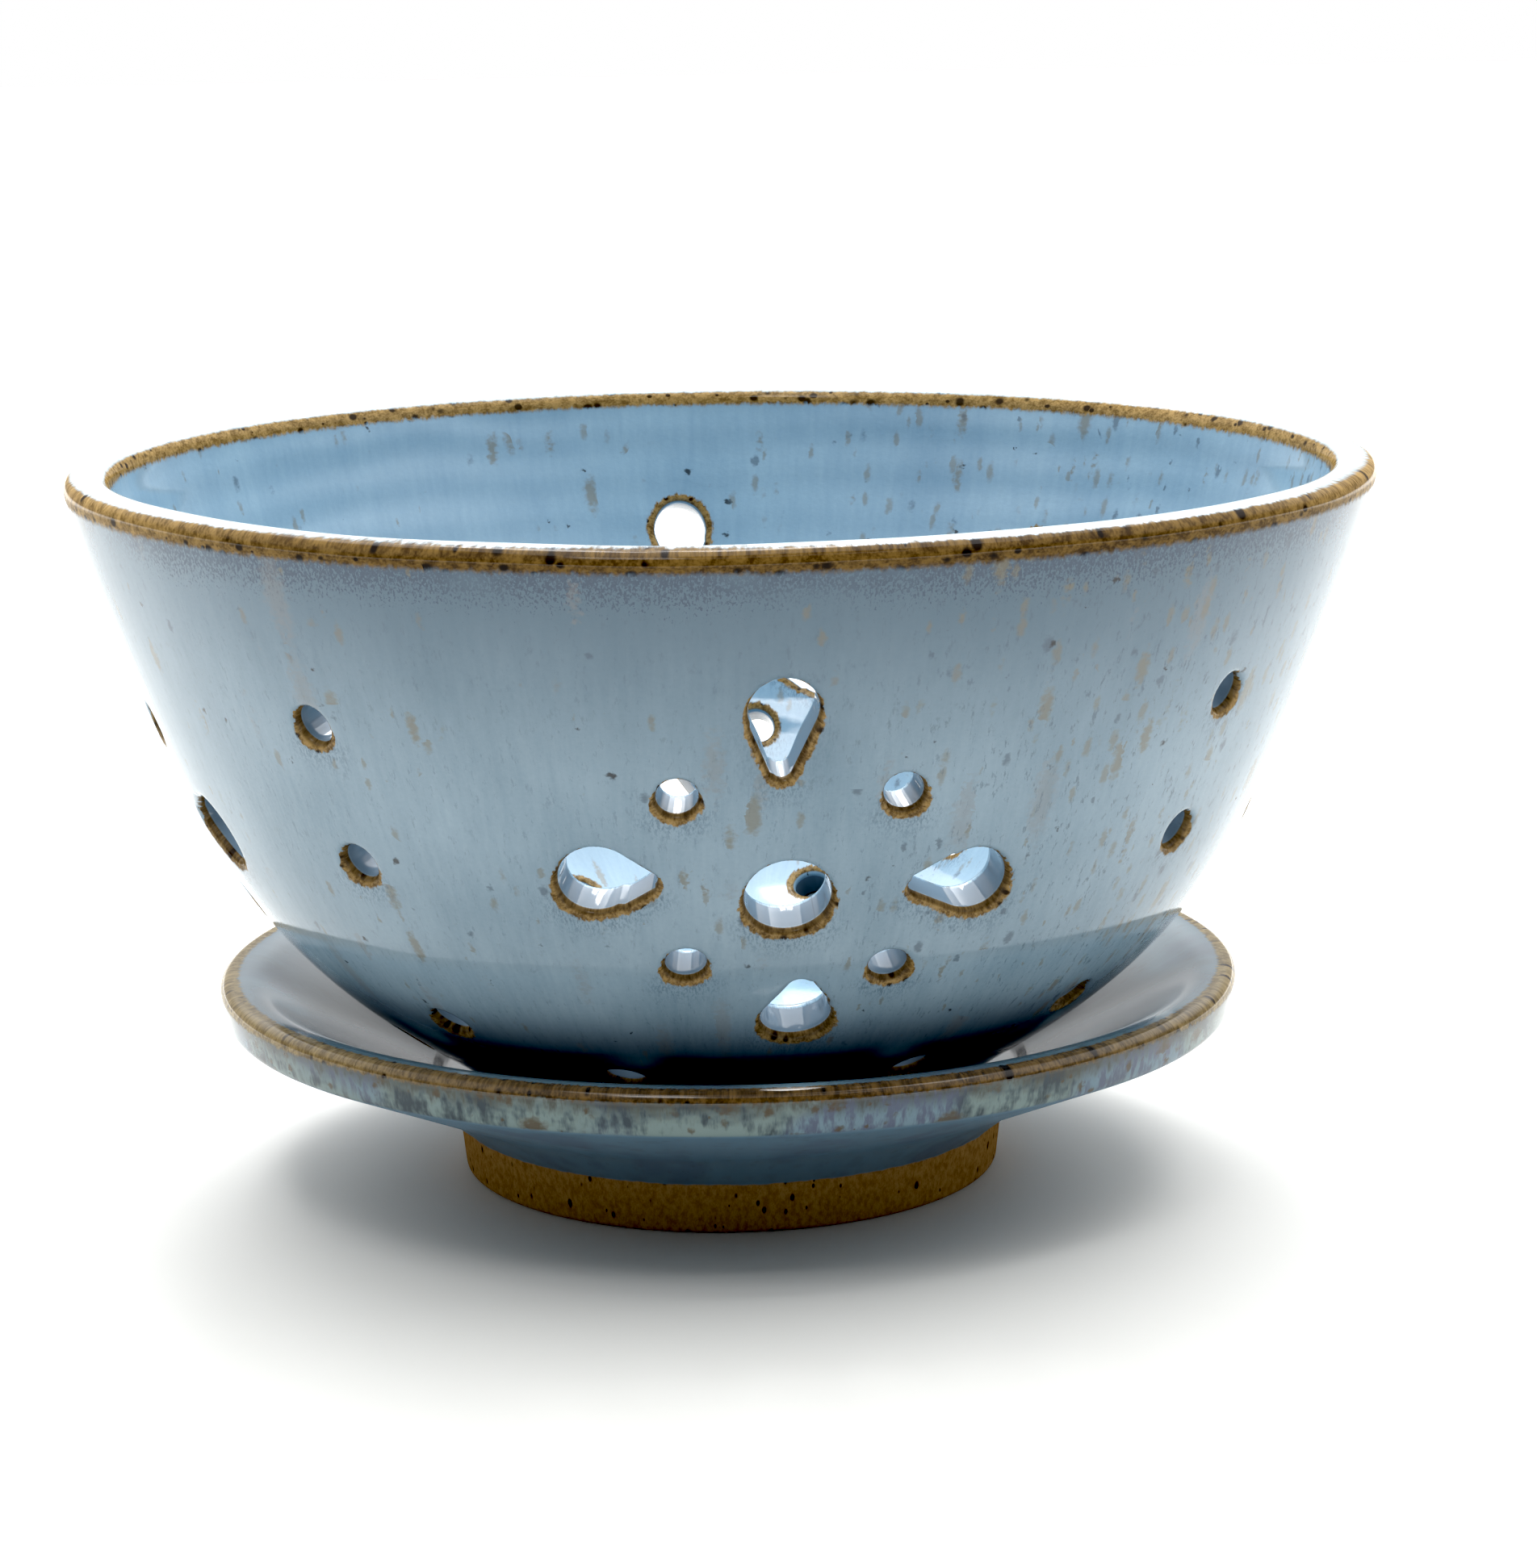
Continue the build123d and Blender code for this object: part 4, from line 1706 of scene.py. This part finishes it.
    def add_bore(self, panel: Panel, hole: Hole) -> None:
        """Adds a hole's bore with its two rounded lips and the skirt of wall round each.

        Args:
            panel: The panel that is being built.
            hole: The hole.
        """
        quarter_turn = np.linspace(0, math.pi / 2, self.lip_steps + 1)
        steps = [(self.lip_radius + extra, 0.0, 0.0) for extra in reversed(self.skirt)]
        for angle in reversed(quarter_turn):
            reach = self.lip_radius * (1 - math.cos(angle))
            steps.append((reach, self.lip_radius * (1 - math.sin(angle)), 0.0))
        for share in np.linspace(0, 1, self.bore_steps + 2)[1:-1]:
            steps.append((0.0, None, share))
        for angle in quarter_turn:
            reach = self.inner_lip_radius * (1 - math.cos(angle))
            steps.append((reach, -self.inner_lip_radius * (1 - math.sin(angle)), 1.0))
        steps += [(self.inner_lip_radius + extra, 0.0, 1.0) for extra in self.skirt]
        previous = None
        for reach, depth, share in steps:
            turn, rise, below = self.hole_ring(hole, reach)
            wall = self.thickness(rise)
            if depth is None:
                clear = wall - self.lip_radius - self.inner_lip_radius
                depths = self.lip_radius + clear * share
                lip = self.lip_radius - depths
            else:
                depths = depth + wall * share
                lip = np.full(len(turn), reach)
            ring = panel.add(turn, self.section(rise, depths), lip=lip, low=below, inside=share)
            if previous is not None:
                panel.strip(previous, ring, closed=True)
            previous = ring

    def add_sheet(self, panel: Panel, holes: list, turns: np.ndarray, side: Side) -> None:
        """Adds one face of a quarter of the wall, round all its holes.

        Args:
            panel: The panel that is being built.
            holes: The quarter's holes.
            turns: Turns of the quarter's columns, in radians.
            side: Which face of the wall.
        """
        radius = self.lip_radius if side is Side.OUTSIDE else self.inner_lip_radius
        reach = radius + self.skirt[-1]
        row_count = round((self.sheet_end - self.sheet_start) / self.spacing) + 1
        rows = np.linspace(self.sheet_start, self.sheet_end, row_count)
        border = [(turn, rows[0]) for turn in turns[:-1]]
        border += [(turns[-1], row) for row in rows[:-1]]
        border += [(turn, rows[-1]) for turn in turns[:0:-1]]
        border += [(turns[0], row) for row in rows[:0:-1]]
        places, rings = list(border), [-1] * len(border)
        edges = [(i, (i + 1) % len(border)) for i in range(len(border))]
        for number, hole in enumerate(holes):
            turn, rise, _ = self.hole_ring(hole, reach)
            first = len(places)
            places += list(zip(turn, rise))
            rings += [number] * len(turn)
            edges += [(first + i, first + (i + 1) % len(turn)) for i in range(len(turn))]
        columns, lines = np.meshgrid(turns[1:-1], rows[1:-1])
        columns[1::2] += (turns[1] - turns[0]) / 2 * (columns[1::2] < turns[-3])
        columns, lines = columns.ravel(), lines.ravel()
        lip, _ = self.lips(holes, columns, lines)
        free = lip > reach + self.spacing * self.clear_share
        places += list(zip(columns[free], lines[free]))
        rings += [-1] * int(free.sum())
        flat = [Vector((float(turn) * self.sheet_radius, float(rise))) for turn, rise in places]
        corners, _, faces, origins, *_ = delaunay_2d_cdt(flat, edges, [], 0, self.same_place)
        turn = np.array([corner.x for corner in corners]) / self.sheet_radius
        rise = np.array([corner.y for corner in corners])
        lip, below = self.lips(holes, turn, rise)
        depth = 0.0 if side is Side.OUTSIDE else self.thickness(rise)
        numbers = panel.add(
            turn, self.section(rise, depth), lip=lip, low=below, inside=float(side.value)
        )
        source = np.array([origin[0] for origin in origins])
        faces = np.array(faces)
        filling = self.in_holes(faces, source, np.array(rings)[source], np.column_stack([turn, rise]))
        panel.faces += [tuple(int(numbers[i]) for i in face) for face in faces[~filling]]

    @staticmethod
    def in_holes(
        faces: np.ndarray, source: np.ndarray, rings: np.ndarray, places: np.ndarray
    ) -> np.ndarray:
        """Finds the triangles that fill a hole.

        All corners of such a triangle stand on the hole's ring, which runs clockwise.

        Args:
            faces: Corners of the triangles.
            source: Place of each corner in the order of the rings.
            rings: Number of the ring that each corner stands on, or -1.
            places: Turn and rise of each corner.

        Returns:
            Whether each triangle lies in a hole.
        """
        one_ring = (rings[faces] == rings[faces[:, :1]]).all(axis=1) & (rings[faces[:, 0]] >= 0)
        ordered = np.take_along_axis(faces, np.argsort(source[faces], axis=1), axis=1)
        first, second, third = (places[ordered[:, corner]] for corner in range(3))
        one_way, other_way = second - first, third - first
        clockwise = one_way[:, 0] * other_way[:, 1] < other_way[:, 0] * one_way[:, 1]
        return one_ring & clockwise

    def bands(self) -> list[tuple[np.ndarray, np.ndarray]]:
        """Outlines of the plain turned parts: foot, rim and inner floor.

        Returns:
            Each outline in the half section, with the inside fact of its points.
        """
        foot, rim = self.foot_diameter / 2, self.rim_diameter / 2
        ring = foot - self.foot_ring
        floor = self.recess_depth + self.floor
        edge = self.foot_edge_radius
        low_rises = np.arange(self.low_wall_start, self.sheet_start, self.low_wall_step)
        low_wall = [(tuple(self.outer.at(rise)), 0) for rise in low_rises]
        under = [
            ((0, self.recess_depth), 0),
            ((ring, self.recess_depth), edge),
            ((ring, 0), edge),
            ((foot, 0), edge),
            ((foot, self.foot_height), self.foot_bend_radius),
            *low_wall,
            (tuple(self.outer.at(self.sheet_start)), 0),
        ]
        rises = np.linspace(self.sheet_end, self.outer.length - self.rim_drop, self.rim_rows)
        inner_side = [tuple(self.depth_point(rise, self.measure_wall(rise))) for rise in rises]
        over_rim = [(tuple(self.outer.at(rise)), 0) for rise in rises]
        over_rim += [
            ((rim, self.height), self.rim_outer_radius),
            ((rim - self.rim_width, self.height + self.rim_rise), self.rim_inner_radius),
        ]
        over_rim += [(place, 0) for place in reversed(inner_side)]
        lowest = self.depth_point(self.sheet_start, self.thickness(self.sheet_start))
        start = float(np.interp(-lowest[1], -self.inner.points[:, 1], self.inner.distances))
        inner_rows = np.linspace(start, self.inner.length, self.floor_rows)[1:]
        bottom = [lowest, *self.inner.at(inner_rows)]
        bottom += [np.array([self.floor_diameter / 2 * share, floor]) for share in self.floor_shares]
        under, over_rim = rounded(under, self.foot_spacing), rounded(over_rim, self.rim_spacing)
        bottom = np.array(bottom)
        past_top = np.arange(len(over_rim)) > over_rim[:, 1].argmax() + 1
        outlines = [
            (under, np.zeros(len(under))),
            (over_rim, past_top.astype(float)),
            (bottom, np.ones(len(bottom))),
        ]
        return [(outline + np.array([0.0, self.seat_height]), inside) for outline, inside in outlines]

    def panel(self) -> Panel:
        """The bowl in quarters, each from midway between a column and a drain to the next such place.

        Returns:
            The panel, once all the way round.
        """
        quarter = 360 / len(self.cuts)
        panel = Panel()
        for number, cut in enumerate(self.cuts):
            facing = number * quarter
            start = math.radians(facing - quarter * self.sheet_back)
            turns = start + math.radians(quarter) * np.arange(self.columns + 1) / self.columns
            holes = self.lay_out_holes(facing, cut)
            for hole in holes:
                self.add_bore(panel, hole)
            for side in Side:
                self.add_sheet(panel, holes, turns, side)
            for outline, inside in self.bands():
                panel.band(turns, outline, inside, self.far_from_holes)
        return panel

    def build(self, wheel: Wheel, effects: GlazeEffects) -> bpy.types.Object:
        """Throws, pierces and glazes the bowl, and sets it in the frame.

        Args:
            wheel: The tree that turns panels.
            effects: The shared shader groups.

        Returns:
            The finished piece.
        """
        glaze = BowlGlaze(rim_height=self.seat_height + self.height)
        piece = wheel.throw("berry_bowl", self.panel(), 1, self.marks, glaze.material(effects))
        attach(piece, "bowl")
        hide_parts("colander_bowl")
        return piece


@dataclass
class DripSaucer:
    """The footed saucer. Sizes repeat the solid's; heights are from the table."""

    rim_diameter: float = 131.8
    height: float = 26.8
    rim_face: float = 5.5
    rim_slant: float = 1.1
    rim_width: float = 4.6
    foot_diameter: float = 69.2
    foot_taper: float = 0.75
    foot_height: float = 6.6
    foot_ring: float = 6.4
    collar_radius: float = 0.6
    bend_diameter: float = 82.0
    bend_height: float = 11.0
    bend_radius: float = 16.0
    recess_depth: float = 5.6
    floor: float = 6.4
    edge_radius: float = 1.5
    inner_edge_radius: float = 6.0
    seat_depth: float = 1.8
    seat_radius: float = 37.5
    seat_slant: float = 1.2
    seat_edge_radius: float = 0.9
    foot_edge_radius: float = 1.0
    spacing: float = 1.1
    columns: int = 72
    repeats: int = 4
    rim_line_share: float = 0.2
    marks: ThrowingMarks = ThrowingMarks(
        ring_depth=0.0, ring_pitch=4.0, wobble=0.7, wobble_scale=20.0, steady_height=15.0, seed=8
    )

    def outline(self) -> np.ndarray:
        """The whole half section, from the axis underneath to the axis on top.

        Returns:
            Points (radius, height).
        """
        rim, foot = self.rim_diameter / 2, self.foot_diameter / 2
        ring = foot - self.foot_ring
        seat = self.recess_depth + self.floor
        corners = [
            ((0, self.recess_depth), 0),
            ((ring, self.recess_depth), self.foot_edge_radius),
            ((ring, 0), self.foot_edge_radius),
            ((foot, 0), self.foot_edge_radius),
            ((foot + self.foot_taper, self.foot_height), self.collar_radius),
            ((self.bend_diameter / 2, self.bend_height), self.bend_radius),
            ((rim - self.rim_slant, self.height - self.rim_face), self.edge_radius),
            ((rim, self.height), self.edge_radius),
            ((rim - self.rim_width, self.height), self.inner_edge_radius),
            ((self.seat_radius + self.seat_slant, seat + self.seat_depth), self.seat_edge_radius),
            ((self.seat_radius, seat), self.seat_edge_radius),
            ((0, seat), 0),
        ]
        return rounded(corners, self.spacing)

    def along_at(self, outline: np.ndarray, place: tuple[float, float]) -> float:
        """Distance along the outline of its point nearest to a place."""
        nearest = np.linalg.norm(outline - np.array(place), axis=1).argmin()
        return float(lengths_along(outline)[nearest])

    def glaze(self, outline: np.ndarray) -> SaucerGlaze:
        """The finish, with its borders set along the outline.

        Args:
            outline: Points (radius, height) of the half section.

        Returns:
            The finish.
        """
        rim = self.rim_diameter / 2
        return SaucerGlaze(
            collar_along=self.along_at(
                outline, (self.foot_diameter / 2 + self.foot_taper, self.foot_height)
            ),
            face_start=self.along_at(outline, (rim - self.rim_slant, self.height - self.rim_face)),
            face_end=self.along_at(outline, (rim, self.height)),
            rim_along=self.along_at(outline, (rim - self.rim_width * self.rim_line_share, self.height)),
        )

    def build(self, wheel: Wheel, effects: GlazeEffects) -> bpy.types.Object:
        """Throws and glazes the saucer, and sets it in the frame.

        Args:
            wheel: The tree that turns panels.
            effects: The shared shader groups.

        Returns:
            The finished piece.
        """
        outline = self.outline()
        turns = math.tau / self.repeats * np.arange(self.columns + 1) / self.columns
        panel = Panel()
        panel.band(turns, outline, np.zeros(len(outline)), 0.0)
        material = self.glaze(outline).material(effects)
        piece = wheel.throw("drip_saucer_glazed", panel, self.repeats, self.marks, material)
        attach(piece, "saucer")
        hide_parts("drip_saucer")
        return piece


@dataclass(frozen=True)
class SoftBox:
    """A flat lamp that shines down, or to the side by its tilt; metres, watts and degrees."""

    name: str
    place: tuple
    size: tuple
    power: float
    tilt: float = 0.0

    def hang(self) -> None:
        """Hangs the lamp."""
        lamp = bpy.data.lights.new(self.name, "AREA")
        lamp.shape = "RECTANGLE"
        lamp.size, lamp.size_y = self.size
        lamp.energy = self.power
        holder = bpy.data.objects.new(self.name, lamp)
        holder.location = self.place
        holder.rotation_euler = (math.radians(self.tilt), 0, 0)
        bpy.context.scene.collection.objects.link(holder)


@dataclass
class Studio:
    """Pale floor, soft light and the camera at the photograph's angle."""

    floor_size: float = 8.0
    floor_colour: tuple = linear(205, 205, 202)
    floor_roughness: float = 0.7
    frame_width: int = 1904
    focal_pixels: float = 5209.0
    sensor_width: float = 36.0
    eye: tuple = (-0.72, -531.64, 158.37)
    yaw: float = 0.0117
    pitch: float = 0.2019
    roll: float = -0.0138
    turn: float = -6.3
    clip: tuple = (0.01, 50.0)
    sky_zenith: float = 0.7
    sky_high: tuple = (2.8, 0.0, 1.6, 2.4)
    sky_low: tuple = (1.0, 0.0, 0.1, 0.1)
    sky_high_span: tuple = (0.2, 0.5)
    sky_zenith_span: tuple = (0.75, 0.95)
    least_level: float = 0.0001
    floor_glow: float = 4.5
    floor_glow_span: tuple = (0.45, 1.1)
    black_level: float = 0.012
    lamps: tuple = (
        SoftBox("overhead soft box", (0.1, 0.4, 1.0), (1.1, 1.5), 22.0),
        SoftBox("front window strip", (-0.05, -0.7, 0.95), (1.0, 0.05), 1.0, 36.6),
        SoftBox("front window pane", (-0.33, -0.6, 1.08), (0.3, 0.3), 2.6, 29.0),
        SoftBox("left back pane", (-0.15, 0.72, 1.28), (0.24, 0.5), 6.0, -29.4),
        SoftBox("right back pane", (0.15, 0.72, 1.28), (0.24, 0.5), 6.0, -29.4),
    )

    def build(self) -> None:
        """Sets up floor, light and camera."""
        self.lay_floor()
        self.light_sky()
        for lamp in self.lamps:
            lamp.hang()
        self.place_camera()

    def lay_floor(self) -> None:
        """Lays a plain pale floor with a matt finish, which glows white far from the object."""
        half = self.floor_size / 2
        mesh = bpy.data.meshes.new("floor")
        corners = [(-half, -half, 0), (half, -half, 0), (half, half, 0), (-half, half, 0)]
        mesh.from_pydata(corners, [], [(0, 1, 2, 3)])
        material = bpy.data.materials.new("floor paper")
        material.use_nodes = True
        shader = material.node_tree.nodes["Principled BSDF"]
        shader.inputs["Base Color"].default_value = self.floor_colour
        shader.inputs["Roughness"].default_value = self.floor_roughness
        shader.inputs["Emission Color"].default_value = (1.0, 1.0, 1.0, 1.0)
        desk = NodeDesk(material.node_tree)
        away = desk.vector("LENGTH", desk.node("ShaderNodeTexCoord").outputs["Object"])
        glow = desk.times(desk.ease(away, *self.floor_glow_span), self.floor_glow)
        desk.feed(shader.inputs["Emission Strength"], glow)
        mesh.materials.append(material)
        floor = bpy.data.objects.new("floor", mesh)
        bpy.context.scene.collection.objects.link(floor)

    def light_sky(self) -> None:
        """Surrounds the scene with white light of its own strength for each side and height.

        The strengths low and high in the sky are those of the back, the front, the left and the right.
        """
        world = bpy.data.worlds.new("studio")
        world.use_nodes = True
        desk = NodeDesk(world.node_tree)
        background = world.node_tree.nodes["Background"]
        across, away, up = desk.parted(desk.node("ShaderNodeTexCoord").outputs["Generated"])
        level = desk.math("MULTIPLY_ADD", across, across, desk.times(away, away))
        level = desk.math("MAXIMUM", level, self.least_level)
        low, high = 0.0, 0.0
        sides = ((away, 1.0), (away, -1.0), (across, -1.0), (across, 1.0))
        for (axis, sign), low_light, high_light in zip(sides, self.sky_low, self.sky_high):
            near = desk.math("MAXIMUM", desk.times(axis, sign), 0.0)
            near = desk.math("DIVIDE", desk.times(near, near), level)
            low = desk.math("MULTIPLY_ADD", near, low_light, low)
            high = desk.math("MULTIPLY_ADD", near, high_light, high)
        light = desk.between(desk.ease(up, *self.sky_high_span), low, high)
        light = desk.between(desk.ease(up, *self.sky_zenith_span), light, self.sky_zenith)
        seen = desk.node("ShaderNodeLightPath").outputs["Is Camera Ray"]
        desk.feed(background.inputs["Strength"], desk.between(seen, light, 1.0))
        background.inputs["Color"].default_value = (1.0, 1.0, 1.0, 1.0)
        bpy.context.scene.world = world

    def place_camera(self) -> None:
        """Stands the camera where the photograph was taken from."""
        forward_level = Vector((math.sin(self.yaw), math.cos(self.yaw), 0))
        right_level = Vector((math.cos(self.yaw), -math.sin(self.yaw), 0))
        up_plain = Vector((0, 0, 1))
        forward = forward_level * math.cos(self.pitch) - up_plain * math.sin(self.pitch)
        above = forward_level * math.sin(self.pitch) + up_plain * math.cos(self.pitch)
        right = right_level * math.cos(self.roll) + above * math.sin(self.roll)
        up = above * math.cos(self.roll) - right_level * math.sin(self.roll)
        camera = bpy.data.cameras.new("camera")
        camera.sensor_fit = "HORIZONTAL"
        camera.sensor_width = self.sensor_width
        camera.lens = self.focal_pixels / self.frame_width * self.sensor_width
        camera.clip_start, camera.clip_end = self.clip
        holder = bpy.data.objects.new("camera", camera)
        axes = Matrix((right, up, -forward)).transposed().to_4x4()
        axes.translation = Vector(self.eye) * MM
        holder.matrix_world = Matrix.Rotation(math.radians(self.turn), 4, "Z") @ axes
        bpy.context.scene.collection.objects.link(holder)
        bpy.context.scene.camera = holder
        view = bpy.context.scene.view_settings
        view.view_transform = "Standard"
        view.use_curve_mapping = True
        view.curve_mapping.black_level = (self.black_level,) * 3
        view.curve_mapping.update()


def main() -> None:
    """Builds the bowl, the saucer and the studio."""
    logging.basicConfig(level=logging.INFO, format="%(name)s: %(message)s")
    effects = GlazeEffects()
    wheel = Wheel()
    for maker in (ColanderBowl(), DripSaucer()):
        piece = maker.build(wheel, effects)
    Studio().build()


if __name__ == "__main__":
    main()
